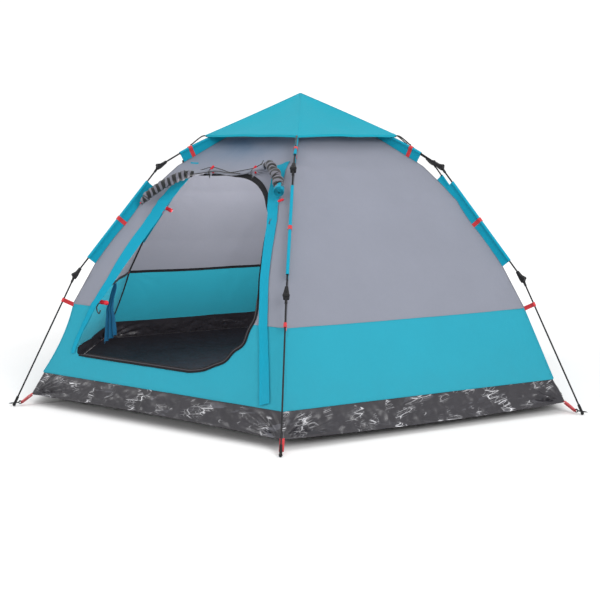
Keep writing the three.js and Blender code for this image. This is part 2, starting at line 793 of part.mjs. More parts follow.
function hub() {
  const group = new THREE.Group();
  group.position.z = HUB_EYE[1];
  group.add(
    named("hub_body", hubBody(), knuckleMaterial),
    named("hub_cover", hubCover(), knuckleMaterial),
    named("hub_ring", hexRing(RING_R), rivetMaterial),
    named("hub_rivet", hubRivet(), rivetMaterial),
  );
  return group;
}

function softParts() {
  const slider = named("door_zip_slider", zipSlider(), rivetMaterial);
  slider.position.set(ZIP_TOP[0], -wallOut(ZIP_TOP[1]) - SLIDER_GAP, ZIP_TOP[1]);
  const lean = Math.atan2(
    wallOut(ZIP_FOOT[1]) - wallOut(ZIP_TOP[1]),
    ZIP_TOP[1] - ZIP_FOOT[1],
  );
  slider.rotation.x = -lean;
  return [
    named("canopy", canopy(), greyCloth),
    named("mesh_roof", meshRoof(), meshCloth),
    named("tub_wall", tubWall(), tubFilm),
    named("groundsheet", groundsheet(), floorCloth),
    named("rolled_door", rolledDoor(), greyCloth),
    named("inner_door", gatheredDoor(), meshCloth),
    named("roof_cap", roofCap(), blueCloth),
    slider,
  ];
}

const tent = new THREE.Group();
tent.add(hub(), ...Array.from({ length: LEGS }, (_, i) => leg(i)), ...softParts());

export default tent;
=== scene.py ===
"""Looks of a six-legged quick-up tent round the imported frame: cloth, film, webbing, zip, cords. Metres."""
import json
import math

import bpy
import numpy as np
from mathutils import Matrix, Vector

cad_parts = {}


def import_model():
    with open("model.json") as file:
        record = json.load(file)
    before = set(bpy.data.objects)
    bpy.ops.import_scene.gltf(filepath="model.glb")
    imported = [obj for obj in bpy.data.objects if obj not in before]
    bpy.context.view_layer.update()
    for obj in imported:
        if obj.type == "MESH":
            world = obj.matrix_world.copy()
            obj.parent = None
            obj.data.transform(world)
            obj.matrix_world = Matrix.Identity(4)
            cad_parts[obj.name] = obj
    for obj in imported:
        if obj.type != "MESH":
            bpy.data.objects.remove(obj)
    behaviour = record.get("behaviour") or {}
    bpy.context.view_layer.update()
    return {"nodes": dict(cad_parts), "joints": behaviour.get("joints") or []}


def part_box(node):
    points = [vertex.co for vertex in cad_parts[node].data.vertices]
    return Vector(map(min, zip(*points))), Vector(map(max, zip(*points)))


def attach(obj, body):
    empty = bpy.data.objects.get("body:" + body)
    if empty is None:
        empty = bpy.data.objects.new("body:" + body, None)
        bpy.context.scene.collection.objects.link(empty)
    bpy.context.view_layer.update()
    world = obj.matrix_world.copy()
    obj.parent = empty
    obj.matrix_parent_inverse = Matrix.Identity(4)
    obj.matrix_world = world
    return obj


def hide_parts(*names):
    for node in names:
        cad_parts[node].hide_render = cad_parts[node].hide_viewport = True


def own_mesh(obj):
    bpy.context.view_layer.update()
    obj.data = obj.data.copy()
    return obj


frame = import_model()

# ---- driving dimensions
LEGS = 6
DOOR_WALL = 4  # the wall between legs 5 and 6; wall 0 lies between legs 1 and 2
RIGHT_WALL = 5
COS30 = math.cos(math.pi / LEGS)
UP = np.array([0.0, 0.0, 1.0])

# Canopy corner line, (distance from the centre line, height), from the tub's top to the roof vent.
TUB_TOP = (1.405, 0.155)
SEAM = (1.247, 0.479)
FLANK = (1.134, 0.665)
SHOULDER = (0.901, 0.968)
EAVE = (0.700, 1.132)
VENT = (0.430, 1.275)
VENT_TOP = (0.066, 1.352)
CORNER_LINE = (TUB_TOP, SEAM, FLANK, SHOULDER, EAVE, VENT)
CORNER_WAIST = 0.017  # inward bow of every corner below the shoulder
CORNER_WAIST_AT = 0.91
CORNER_WAIST_REACH = 0.10
CORNER_SLACK = (0.0, 0.008, 0.010, 0.008, 0.020, 0.006)  # inward bow of each corner below the seam
WALL_SAG = (0.004, 0.013, 0.016, 0.004)  # how far a wall's middle lies in, at the four heights below
WALL_SAG_AT = (TUB_TOP[1], SEAM[1], SHOULDER[1], VENT[1])
FLOOR_CORNER = (1.467, 0.049)
FLOOR_FLAT = 1.18
FLOOR_LIFT = {DOOR_WALL: 0.008, RIGHT_WALL: -0.012}  # mid-wall height of the tub's lower edge

PIN_OFFSET = 0.006
UPPER_RISE = 0.53  # angle below the horizontal of the bowed upper pole's axis at its knuckle
HUB_RISE = 0.155  # and at the hub's ring
KNUCKLE_BACK = 0.046
POLE_NECK = 0.012
UPPER_SLEEVE = (0.11, 0.50)  # start and end, as shares of the upper pole's bow
MIDDLE_SLEEVE = (0.096, 0.572)  # start and end along the pole, from the upper pin
UPPER_TAB = 0.19
MIDDLE_TAB = 0.328
SEAM_STRAP = 0.130  # from the lower pin
SLEEVE_R = 0.0066
UPPER_WEB_MOST = 0.056
MIDDLE_WEB = 0.061
SEAM_WEB = 0.060
WEBBING = 0.020
CLOTH = 0.0012
FILM = 0.0008

CAP_EAVE = (0.548, 1.284)
CAP_HEM = 0.011
CAP_LEAN = (-0.015, -0.010)  # the slack cap's apex sits a little off centre

# Door wall, (along the wall, height); its left and right are those seen from outside.
DOOR_SILL = 0.248
DOOR_TOP = 1.100
ZIP_END = -0.235  # where the zip ends, at the top left
TIES = (-0.113, 0.142)  # the two ties that hold the rolled door
ROLL_PITCH = 0.030

CAMERA_AT = (3.2893, -4.9816, 1.3006)
CAMERA_YAW = -0.5869
CAMERA_PITCH = 0.1479
LENS = 67.77
SENSOR = 36
WAVE_BAND = 0.314  # length of one band of a wave texture at scale 1
STUDIO_WHITE = 1.08
STUDIO_DYE = 0.66


# ---- small maths
def leg_angle(number):
    return math.radians(60 * number)


def leg_axes(leg):
    """A leg's outward and sideways directions."""
    a = leg_angle(leg)
    return np.array([math.cos(a), math.sin(a), 0.0]), np.array([-math.sin(a), math.cos(a), 0.0])


def between_legs(wall, t, left, right):
    """Plan position at share t between the points at these distances out on a wall's two legs."""
    a, b = leg_angle(wall), leg_angle(wall + 1)
    x = (1 - t) * left * math.cos(a) + t * right * math.cos(b)
    y = (1 - t) * left * math.sin(a) + t * right * math.sin(b)
    return x, y


def hexagon(wall, t, r):
    return between_legs(wall, t, r, r)


def round_walls(make):
    """What `make` gives for each wall, joined into one ring."""
    return np.concatenate([make(wall) for wall in range(LEGS)], axis=1)


def column(low, high, count):
    return np.linspace(low, high, count)[:, None]


def ring_row(low, high, count):
    """A row that stops one step short of `high`, where the next round starts."""
    return np.linspace(low, high, count, endpoint=False)[None]


def unit(vector):
    return vector / np.linalg.norm(vector)


def value_noise(x, y, seed, cells=64):
    """Smooth noise between -1 and 1, one cell per unit."""
    table = np.random.RandomState(seed).rand(cells, cells) * 2 - 1
    x, y = np.broadcast_arrays(np.asarray(x, float), np.asarray(y, float))
    xi, yi = np.floor(x).astype(int), np.floor(y).astype(int)
    fx, fy = x - xi, y - yi
    fx, fy = fx * fx * (3 - 2 * fx), fy * fy * (3 - 2 * fy)
    a, b = table[xi % cells, yi % cells], table[(xi + 1) % cells, yi % cells]
    c, d = table[xi % cells, (yi + 1) % cells], table[(xi + 1) % cells, (yi + 1) % cells]
    return a + (b - a) * fx + (c - a) * fy + (a - b - c + d) * fx * fy


def crinkle(x, y, seed, octaves=3):
    """Sharp-ridged creases between 0 and 1, as in stiff film."""
    total, weight, size = 0.0, 0.0, 1.0
    for octave in range(octaves):
        turn = 0.6 + 1.1 * octave
        u = (x * math.cos(turn) + y * math.sin(turn)) * size
        v = (y * math.cos(turn) - x * math.sin(turn)) * size
        total = total + (1 - np.abs(value_noise(u, v, seed + octave))) ** 2 / size
        weight += 1 / size
        size *= 2.1
    return total / weight


def arc(points):
    """Length along a line at each of its points."""
    steps = np.linalg.norm(np.diff(points, axis=0), axis=1)
    return np.concatenate([[0.0], np.cumsum(steps)])


def interpolated(at, lengths, points):
    return np.stack([np.interp(at, lengths, values) for values in points.T], axis=1)


def resample(points, count):
    lengths = arc(points)
    return interpolated(np.linspace(0, lengths[-1], count), lengths, points)


def smooth_line(points, count):
    """A curve through the given points, evenly sampled."""
    points = np.array(points, float)
    ends = np.vstack([2 * points[0] - points[1], points, 2 * points[-1] - points[-2]])
    out = []
    for i in range(1, len(ends) - 2):
        p0, p1, p2, p3 = ends[i - 1 : i + 3]
        t = np.linspace(0, 1, 24, endpoint=i == len(ends) - 3)[:, None]
        curve = (2 * p0 - 5 * p1 + 4 * p2 - p3) * t**2 + (3 * p1 - p0 - 3 * p2 + p3) * t**3
        out.append(0.5 * (2 * p1 + (p2 - p0) * t + curve))
    return resample(np.vstack(out), count)


def bezier(p0, p1, p2, p3, count):
    t = column(0, 1, count)
    p0, p1, p2, p3 = (np.array(p, float) for p in (p0, p1, p2, p3))
    return (1 - t) ** 3 * p0 + 3 * (1 - t) ** 2 * t * p1 + 3 * (1 - t) * t * t * p2 + t**3 * p3


# ---- the tent's surface
def corner_radius(z, leg=None):
    """Distance of a canopy corner from the centre line at height z."""
    radii, heights = zip(*CORNER_LINE)
    r = np.interp(z, heights, radii)
    if leg is not None:
        t = np.clip((z - TUB_TOP[1]) / (SEAM[1] - TUB_TOP[1]), 0, 1)
        r = r - CORNER_SLACK[leg % LEGS] * 4 * t * (1 - t)
    return r - CORNER_WAIST * np.exp(-(((z - CORNER_WAIST_AT) / CORNER_WAIST_REACH) ** 2))


def wall_normal(wall, z):
    azimuth = math.radians(30 + 60 * wall)
    step = 0.03
    lean = (corner_radius(z + step) - corner_radius(z - step)) * COS30 / (2 * step)
    normal = np.stack(np.broadcast_arrays(math.cos(azimuth), math.sin(azimuth), -lean), axis=-1)
    return normal / np.linalg.norm(normal, axis=-1, keepdims=True)


def wall_relief(wall, across, z):
    """How far the stretched cloth lies inside the plane between two legs: its sag, folds and corner pulls."""
    free = 1 - across**2
    sag = np.interp(z, WALL_SAG_AT, WALL_SAG) * free
    along = across * corner_radius(z) / 2
    seed = 40 + 7 * wall
    folds = 0.0035 * value_noise(along / 0.17 + 9, z / 0.6 + 3, seed)
    folds += 0.0016 * value_noise(along / 0.07 + 4 * z, z / 0.35 + 5, seed + 1)
    pull = 0.0
    for side in (-1, 1):
        for r0, z0 in (SEAM, SHOULDER, EAVE, TUB_TOP):
            dx, dz = along - side * r0 / 2, (z - z0) * 1.2
            angle = np.arctan2(dz, -side * dx)
            pull = pull + np.exp(-np.hypot(dx, dz) / 0.13) * np.sin(13 * angle + seed + side) * 0.0035
    return sag + (folds + pull) * np.minimum(1.0, free * 3)


def wall_points(wall, across, z, proud=0.0):
    """Points on a wall; across runs from -1 at its left corner to 1 at its right one, seen from outside."""
    across, z = np.broadcast_arrays(np.asarray(across, float), np.asarray(z, float))
    x, y = between_legs(wall, (across + 1) / 2, corner_radius(z, wall), corner_radius(z, wall + 1))
    push = proud - wall_relief(wall, across, z)
    return np.stack([x, y, z], axis=-1) + push[..., None] * wall_normal(wall, z)


def door_points(x, z, proud=0.0):
    """Points on the door wall from distances along it."""
    x, z = np.asarray(x, float), np.asarray(z, float)
    return wall_points(DOOR_WALL, x / (corner_radius(z) / 2), z, proud)


def door_line(points, count):
    """A curve through (along, height, proud) points of the door wall."""
    return door_points(*smooth_line(points, count).T)


def door_outline():
    """The opening's edge as (along, height), anticlockwise from outside, from its lower left corner."""
    sill = np.array([(-0.520, DOOR_SILL), (0.150, DOOR_SILL)])
    lower = bezier((0.150, DOOR_SILL), (0.330, 0.262), (0.462, 0.380), (0.452, 0.540), 24)
    upper = bezier((0.331, 0.923), (0.300, 1.010), (0.190, DOOR_TOP), (0.040, DOOR_TOP), 20)
    left_top = bezier((-0.200, DOOR_TOP), (-0.222, DOOR_TOP), (-0.239, 1.088), (-0.245, 1.060), 6)
    left = np.array([(-0.400, 0.657), (-0.541, 0.350)])
    left_low = bezier((-0.541, 0.350), (-0.556, 0.300), (-0.556, DOOR_SILL), (-0.520, DOOR_SILL), 8)
    line = resample(np.vstack([sill, lower, upper, left_top, left, left_low]), 420)[:-1]
    # The lower right edge is slack and runs in small waves.
    slack = np.exp(-(((line[:, 0] - 0.40) / 0.12) ** 2) - ((line[:, 1] - 0.38) / 0.13) ** 2)
    wave = 0.007 * slack * np.sin(arc(line) / 0.019)
    return line + wave[:, None] * edge_normals(line)


def right_of(steps):
    """Unit vectors to the right of flat steps."""
    normal = np.stack([steps[:, 1], -steps[:, 0]], axis=1)
    return normal / np.linalg.norm(normal, axis=1, keepdims=True)


def edge_normals(line):
    """Unit normals of a closed outline, pointing out of the opening."""
    return right_of(np.roll(line, -1, axis=0) - np.roll(line, 1, axis=0))


# ---- mesh building
def sheet_normals(points, ring):
    """Outward unit normals of a grid of points whose rows run anticlockwise seen from above."""
    if ring:
        across = np.roll(points, -1, axis=1) - np.roll(points, 1, axis=1)
    else:
        across = np.gradient(points, axis=1)
    normal = np.cross(across, np.gradient(points, axis=0))
    return normal / np.maximum(np.linalg.norm(normal, axis=2, keepdims=True), 1e-9)


def sheet_uvs(points):
    """Texture coordinates in metres: along the columns, centred, and up the rows."""
    uv = np.zeros((*points.shape[:2], 2))
    uv[:, 1:, 0] = np.cumsum(np.linalg.norm(np.diff(points, axis=1), axis=2), axis=1)
    uv[..., 0] -= uv[:, -1:, 0] / 2
    uv[1:, :, 1] = np.cumsum(np.linalg.norm(np.diff(points, axis=0), axis=2), axis=0)
    return uv


def grid_corners(i, uv):
    """The four corners of every quad of a grid, as (vertex numbers, texture coordinates)."""
    spans = slice(None, -1), slice(1, None)
    return [(i[spans[a], spans[b]], uv[spans[a], spans[b]]) for a, b in ((0, 0), (0, 1), (1, 1), (1, 0))]


def quad_arrays(corners):
    """Faces and texture coordinates of the quads that have these corners."""
    faces = np.stack([i.reshape(-1) for i, _ in corners], axis=1)
    return faces, np.stack([uv.reshape(-1, 2) for _, uv in corners], axis=1).reshape(-1, 2)


def thick_sheet(points, thickness, ring=False):
    """A closed cloth solid: a rows x columns grid of points outside, and the same grid behind it inside."""
    rows, cols = points.shape[:2]
    back = points - sheet_normals(points, ring) * thickness
    vertices = np.concatenate([points.reshape(-1, 3), back.reshape(-1, 3)])
    i = np.arange(rows * cols).reshape(rows, cols)
    if ring:
        points = np.concatenate([points, points[:, :1]], axis=1)
        i = np.concatenate([i, i[:, :1]], axis=1)
    uv = sheet_uvs(points)
    k = i + rows * cols
    front, back = grid_corners(i, uv), grid_corners(k, uv)
    quads = [front, [back[0], back[3], back[2], back[1]]]
    edges = [(i[0], k[0], uv[0]), (i[-1][::-1], k[-1][::-1], uv[-1][::-1])]
    if not ring:
        edges += [(i[:, -1], k[:, -1], uv[:, -1]), (i[::-1, 0], k[::-1, 0], uv[::-1, 0])]
    for outer, inner, at in edges:
        quads.append([(outer[1:], at[1:]), (outer[:-1], at[:-1]), (inner[:-1], at[:-1]), (inner[1:], at[1:])])
    faces, uvs = zip(*(quad_arrays(corners) for corners in quads))
    return vertices, np.concatenate(faces).tolist(), np.concatenate(uvs)


def path_frames(path, closed):
    """Two unit vectors across a path at each of its points, without twist."""
    if closed:
        along = np.roll(path, -1, axis=0) - np.roll(path, 1, axis=0)
    else:
        along = np.gradient(path, axis=0)
    along /= np.maximum(np.linalg.norm(along, axis=1, keepdims=True), 1e-12)
    start = UP if abs(along[0][2]) < 0.9 else np.array([1.0, 0.0, 0.0])
    first = [unit(np.cross(start, along[0]))]
    for t in along[1:]:
        first.append(unit(first[-1] - t * (first[-1] @ t)))
    first = np.array(first)
    return first, np.cross(along, first)


def tube(path, radius, sides=10, closed=False):
    """A closed round body along a path. radius is one number, one a point, or a points x sides array."""
    path = np.array(path, float)
    count = len(path)
    if np.ndim(radius) < 2:
        radius = np.asarray(radius, float).reshape(-1, 1)
    radius = np.broadcast_to(radius, (count, sides))
    first, second = path_frames(path, closed)
    angle = (np.arange(sides) * 2 * math.pi / sides)[None, :, None]
    ring = first[:, None] * np.cos(angle) + second[:, None] * np.sin(angle)
    points = (path[:, None] + ring * radius[..., None]).reshape(-1, 3)
    lengths = arc(path)
    i = np.arange(count * sides).reshape(count, sides)
    i = np.hstack([i, i[:, :1]])
    if closed:
        i = np.vstack([i, i[:1]])
        lengths = np.append(lengths, lengths[-1] + np.linalg.norm(path[0] - path[-1]))
    uv = np.stack(np.meshgrid(lengths, np.arange(sides + 1) / sides, indexing="ij"), axis=-1)
    faces, uvs = quad_arrays(grid_corners(i, uv))
    faces = faces.tolist()
    if not closed:
        faces += [i[0, :-1][::-1].tolist(), i[-1, :-1].tolist()]
        uvs = np.concatenate([uvs, uv[0, :-1], uv[-1, :-1]])
    return points, faces, uvs


def strap(path, sideways, width, thickness):
    """A flat strap along a path; width is one number or one a point."""
    path = np.array(path, float)
    width = np.broadcast_to(np.asarray(width, float), len(path))
    share = np.linspace(-0.5, 0.5, 4)[:, None, None]
    return thick_sheet(path[None] + np.array(sideways, float) * share * width[None, :, None], thickness)


def mesh_object(name, parts, material, sharp=38):
    """One object from parts (vertices, faces, uvs); edges over `sharp` degrees are hard."""
    vertices, faces, uvs, offset = [], [], [], 0
    for points, part_faces, part_uvs in parts:
        vertices.append(points)
        faces += [[i + offset for i in f] for f in part_faces]
        uvs.append(part_uvs)
        offset += len(points)
    mesh = bpy.data.meshes.new(name)
    mesh.from_pydata(np.concatenate(vertices).tolist(), [], faces)
    layer = mesh.uv_layers.new(name="UVMap")
    layer.data.foreach_set("uv", np.concatenate(uvs).astype(np.float32).ravel())
    mesh.polygons.foreach_set("use_smooth", [True] * len(faces))
    mesh.materials.append(material)
    mesh.set_sharp_from_angle(angle=math.radians(sharp))
    return linked(name, mesh)


def linked(name, data):
    """A new object in the scene."""
    obj = bpy.data.objects.new(name, data)
    bpy.context.scene.collection.objects.link(obj)
    return obj


def on_body(obj, body, replaced):
    """Puts a cloth piece on its body, and hides the frame parts it replaces."""
    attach(obj, body)
    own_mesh(obj)
    if replaced:
        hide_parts(*replaced)


def on_fabric(obj, slot, *replaced):
    on_body(obj, "fabric", replaced)


def sewn(name, parts, material, slot, *replaced, sharp=38):
    """A new piece of the tent's cloth."""
    on_fabric(mesh_object(name, parts, material, sharp), slot, *replaced)


def on_cap(obj, slot, *replaced):
    on_body(obj, "roof_cap", replaced)


# ---- materials
def colour(red, green, blue):
    """The dye that looks like this 0-255 colour under the bright studio light."""
    def linear(c):
        c /= 255
        return c / 12.92 if c <= 0.04045 else ((c + 0.055) / 1.055) ** 2.4

    return tuple(STUDIO_DYE * linear(c) for c in (red, green, blue)) + (1.0,)


def scaled(rgba, factor):
    return tuple(min(1.0, c * factor) for c in rgba[:3]) + (1.0,)


def add(kind, inputs, **settings):
    """A shader node in the tree of the sockets that it is joined to."""
    tree = next(value.id_data for value in inputs.values() if is_socket(value))
    made = tree.nodes.new("ShaderNode" + kind)
    for key, value in settings.items():
        setattr(made, key, value)
    for key, value in inputs.items():
        if is_socket(value):
            tree.links.new(value, made.inputs[key])
        else:
            made.inputs[key].default_value = value
    return made


def is_socket(value):
    return isinstance(value, bpy.types.NodeSocket)


def new_material(name):
    """A material and its texture coordinates: along the cloth, and in the tent's frame."""
    material = bpy.data.materials.new(name)
    material.use_nodes = True
    material.node_tree.nodes.clear()
    at = material.node_tree.nodes.new("ShaderNodeTexCoord").outputs
    return material, at["UV"], at["Object"]


def finished(material, settings, lit_through=0.0):
    """Gives a material its shader, with a share of the light let through in its own colour."""
    shader = add("BsdfPrincipled", settings).outputs[0]
    if lit_through:
        through = add("BsdfTranslucent", {"Color": settings["Base Color"]}).outputs[0]
        shader = add("MixShader", {0: lit_through, 1: shader, 2: through}).outputs[0]
    add("OutputMaterial", {"Surface": shader})
    return material


def stretched(coordinates, scale):
    return add("Mapping", {"Vector": coordinates, "Scale": scale}).outputs[0]


def noise(vector, scale, detail=3.0, roughness=0.55):
    inputs = {"Vector": vector, "Scale": scale, "Detail": detail, "Roughness": roughness}
    return add("TexNoise", inputs).outputs["Fac"]


def ranged(value, low, high, from_low=0.0, from_high=1.0):
    inputs = {"Value": value, "From Min": from_low, "From Max": from_high, "To Min": low, "To Max": high}
    return add("MapRange", inputs).outputs[0]


def maths(operation, a, b=0.0):
    return add("Math", {0: a, 1: b}, operation=operation).outputs[0]


def product(value, *others):
    for other in others:
        value = maths("MULTIPLY", value, other)
    return value


def axes(vector):
    return add("SeparateXYZ", {0: vector}).outputs


def mixed(share, first, second):
    return add("Mix", {0: share, 6: first, 7: second}, data_type="RGBA").outputs[2]


def bump(strength, distance, height, under=None):
    inputs = {"Strength": strength, "Distance": distance, "Height": height}
    if under:
        inputs["Normal"] = under
    return add("Bump", inputs).outputs[0]


def threads(uv, direction, pitch, distortion, detail):
    """Rounded threads across one direction of the cloth, `pitch` apart."""
    inputs = {"Vector": uv, "Scale": WAVE_BAND / pitch, "Distortion": distortion, "Detail": detail}
    return add("TexWave", inputs, bands_direction=direction).outputs["Fac"]


def weave_height(uv, pitch):
    warp, weft = (threads(uv, direction, pitch, 0.6, 1.0) for direction in "XY")
    return maths("MAXIMUM", warp, weft)


def cloth(name, rgba, pitch=0.0011, mottling=0.07, lit_through=0.3, creases=0.5, cap_glow=0.0):
    """Coated polyester: a fine plain weave with painted shade between its threads, soft creases, faint
    mottling and dust low down.
    """
    material, uv, place = new_material(name)
    weave = weave_height(uv, pitch)
    broad = noise(place, 3.0)
    shade = mixed(broad, scaled(rgba, 1 - mottling), scaled(rgba, 1 + mottling))
    specks = product(noise(place, 60.0, 2.0), 0.12)
    shade = mixed(specks, shade, scaled(rgba, 0.72))
    # Painted shade: the cloth's colour is darker between its threads.
    thread_gap_shade = product(maths("SUBTRACT", 1.0, weave), 0.10)
    shade = mixed(thread_gap_shade, shade, scaled(rgba, 0.6))
    low = ranged(axes(place)["Z"], 0.07, 0.0, 0.15, 0.34)
    dust = product(low, noise(place, 14.0, 4.0))
    shade = mixed(dust, shade, colour(120, 116, 108))
    if cap_glow:
        shade = under_cap(place, shade, cap_glow)
    crease = noise(stretched(place, (1.0, 1.0, 0.45)), 16.0, 5.0, 0.6)
    return finished(material, {
        "Base Color": shade,
        "Roughness": ranged(broad, 0.70, 0.86),
        "Specular IOR Level": 0.16,
        "Sheen Weight": 0.05,
        "Sheen Roughness": 0.5,
        "Normal": bump(0.35, 0.0004, weave, bump(creases, 0.004, crease)),
    }, lit_through)


def under_cap(place, shade, strength):
    """The blue light that falls through the cap on the cloth above the door."""
    parts = axes(place)
    high = ranged(parts["Z"], 0.0, 1.0, 1.11, 1.22)
    front = ranged(parts["Y"], 1.0, 0.0, -0.40, -0.30)
    off_middle = maths("ABSOLUTE", maths("ADD", parts["X"], 0.12))
    middle = ranged(off_middle, 1.0, 0.0, 0.10, 0.42)
    uneven = ranged(noise(place, 5.0), 0.4, 1.0, 0.3, 0.7)
    return mixed(product(high, front, middle, uneven, strength), shade, colour(76, 124, 160))


def crease_glints_and_facets(uv, place, scale, slant):
    """Slanting creases of crumpled film, as two shares from 0 to 1: thin streaks along the creases, painted
    as highlights, and random tones of the facets between them, for painted reflections and bumps.
    """
    warp = add("TexNoise", {"Vector": uv, "Scale": 5.0, "Detail": 1.0}).outputs["Color"]
    bent = add("Mix", {0: 0.05, 4: uv, 5: warp}, data_type="VECTOR").outputs[1]
    turned = add("Mapping", {"Vector": bent, "Rotation": (0, 0, slant), "Scale": scale})
    cells = {"Vector": turned.outputs[0], "Scale": 1.0}
    edge = add("TexVoronoi", cells, feature="DISTANCE_TO_EDGE").outputs["Distance"]
    tone = add("TexVoronoi", cells, feature="F1").outputs["Color"]
    broken = ranged(noise(place, 15.0, 1.0), 0.0, 1.0, 0.53, 0.60)
    # Painted highlights: thin streaks along the cell edges, broken up by noise.
    highlight_lines = product(ranged(edge, 1.0, 0.0, 0.005, 0.035), broken)
    return highlight_lines, ranged(axes(tone)["X"], 0.0, 1.0, 0.60, 1.0)


def outward(place):
    """1 on the faces turned away from the tent's middle, 0 on the others."""
    normal = place.id_data.nodes.new("ShaderNodeNewGeometry").outputs["Normal"]
    facing = add("VectorMath", {0: normal, 1: place}, operation="DOT_PRODUCT").outputs["Value"]
    return ranged(facing, 0.0, 1.0, 0.0, 0.1)


def film(name, rgba, roughness, crease_depth, painted_glints=False):
    """Crinkled polyethylene film: dark, glossy, with sharp creases; optionally, on its outer faces, painted
    highlights along the creases and painted reflections on some facets.
    """
    material, uv, place = new_material(name)
    highlight_lines, facets = crease_glints_and_facets(uv, place, (11.0, 30.0, 1.0), 0.5)
    fine_highlight_lines, fine_facets = crease_glints_and_facets(uv, place, (34.0, 80.0, 1.0), -0.6)
    shade = mixed(noise(place, 9.0, 5.0), scaled(rgba, 0.5), scaled(rgba, 1.3))
    if painted_glints:
        # Painted light, in scattered patches on the outer faces only: pale facets as painted reflections,
        # white streaks along the creases as painted highlights.
        painted_glint_patch = noise(stretched(place, (1.0, 1.0, 2.0)), 5.5, 2.0)
        painted_glint_patch = product(ranged(painted_glint_patch, 0.35, 1.0, 0.42, 0.58), outward(place))
        # Painted reflection: pale grey on some facets, as if they mirrored a bright lamp.
        shade = mixed(product(facets, fine_facets, painted_glint_patch), shade, colour(100, 100, 108))
        line = product(maths("MAXIMUM", highlight_lines, product(fine_highlight_lines, 0.6)), painted_glint_patch)
        # Painted highlight: near white along the creases.
        shade = mixed(line, shade, colour(250, 250, 255))
    broad = bump(crease_depth, 0.010, facets)
    return finished(material, {
        "Base Color": shade,
        "Roughness": ranged(noise(place, 22.0), roughness - 0.06, roughness + 0.14),
        "Specular IOR Level": 0.4,
        "Normal": bump(crease_depth * 0.6, 0.004, fine_facets, broad),
    })


def webbing(name, rgba, pitch=0.0022):
    """Narrow woven tape: ribs across it, painted shade between its threads and painted light on their tops,
    and slightly worn threads.
    """
    material, uv, place = new_material(name)
    ribs = threads(uv, "X", pitch, 0.3, 2.0)
    height = product(ribs, threads(uv, "Y", pitch * 1.6, 0.3, 2.0))
    wear = noise(place, 120.0, 4.0)
    # Painted shade and light: darker where the threads lie low, lighter on their raised tops.
    shade = mixed(height, scaled(rgba, 0.78), scaled(rgba, 1.08))
    shade = mixed(ranged(wear, 0.0, 0.35, 0.58, 0.80), shade, scaled(rgba, 1.5))
    return finished(material, {
        "Base Color": shade,
        "Roughness": ranged(wear, 0.62, 0.85),
        "Sheen Weight": 0.2,
        "Normal": bump(0.6, 0.0008, height),
    })


def plastic(name, rgba, roughness=0.5, grain=900.0, scuffs=0.3):
    """Moulded plastic: fine grain and pale scuffs."""
    material, _, place = new_material(name)
    rub = noise(stretched(place, (1.0, 1.0, 2.2)), 90.0, 6.0, 0.65)
    shade = mixed(noise(place, 25.0), scaled(rgba, 0.85), scaled(rgba, 1.2))
    shade = mixed(ranged(rub, 0.0, scuffs, 0.60, 0.78), shade, colour(120, 120, 122))
    return finished(material, {
        "Base Color": shade,
        "Roughness": ranged(rub, roughness - 0.1, roughness + 0.15),
        "Specular IOR Level": 0.22,
        "Normal": bump(0.18, 0.0004, noise(place, grain, 2.0)),
    })


def steel(name, rgba):
    """Bright plated steel with fine scratches."""
    material, _, place = new_material(name)
    scratches = noise(stretched(place, (1.0, 12.0, 1.0)), 260.0, 5.0)
    return finished(material, {
        "Base Color": mixed(scratches, scaled(rgba, 0.8), rgba),
        "Metallic": 1.0,
        "Roughness": ranged(scratches, 0.22, 0.42),
        "Normal": bump(0.12, 0.0003, scratches),
    })


def striped_roll(name, light, dark):
    """Cloth and mesh rolled up together: their edges show as slanting stripes along the roll."""
    material, uv, place = new_material(name)
    along = axes(uv)
    turns = maths("ADD", maths("DIVIDE", along["X"], ROLL_PITCH), along["Y"])
    wave = maths("FRACT", maths("ADD", turns, product(noise(place, 30.0), 0.35)))
    start, end = ranged(wave, 0.0, 1.0, 0.36, 0.44), ranged(wave, 0.0, 1.0, 0.95, 1.0)
    shade = mixed(maths("SUBTRACT", start, end), light, dark)
    shade = mixed(product(noise(place, 70.0, 4.0), 0.3), shade, scaled(dark, 1.4))
    creases = bump(0.6, 0.004, noise(place, 45.0, 5.0))
    return finished(material, {
        "Base Color": shade,
        "Roughness": 0.82,
        "Sheen Weight": 0.15,
        "Normal": bump(0.3, 0.0005, weave_height(uv, 0.0012), creases),
    })


grey_cloth = cloth("grey_polyester", colour(169, 173, 187), cap_glow=0.75)
blue_cloth = cloth("blue_polyester", colour(56, 191, 216))
cap_cloth = cloth("cap_polyester", colour(38, 200, 226), creases=0.35)
trim_cloth = cloth("trim_polyester", colour(6, 168, 200), lit_through=0.1)
seam_cloth = cloth("seam_polyester", colour(112, 114, 124), lit_through=0.0)
mesh_cloth = cloth("vent_mesh", colour(38, 40, 44), pitch=0.0022, lit_through=0.25)
inner_mesh = cloth("inner_mesh", colour(0, 84, 122), pitch=0.0022, lit_through=0.0)
tape_cloth = cloth("black_tape", colour(26, 27, 31), pitch=0.0016, lit_through=0.0, mottling=0.15)
binding_cloth = cloth("grey_binding", colour(78, 74, 80), pitch=0.0016, lit_through=0.0)
tub_sheet = film("tub_film", colour(52, 50, 56), roughness=0.30, crease_depth=0.5, painted_glints=True)
floor_film = film("floor_film", colour(32, 31, 40), roughness=0.6, crease_depth=0.4)
red_webbing = webbing("red_webbing", colour(226, 34, 46))
red_plastic = plastic("red_plastic", colour(224, 40, 56), roughness=0.4)
black_cord = webbing("black_cord", colour(20, 20, 23), pitch=0.0016)
pole_finish = plastic("pole_fibreglass", colour(20, 20, 24), roughness=0.38, grain=500.0, scuffs=0.08)
knuckle_finish = plastic("knuckle_plastic", colour(26, 26, 29), scuffs=0.10)
foot_finish = plastic("foot_plastic", colour(24, 24, 26), roughness=0.6, scuffs=0.2)
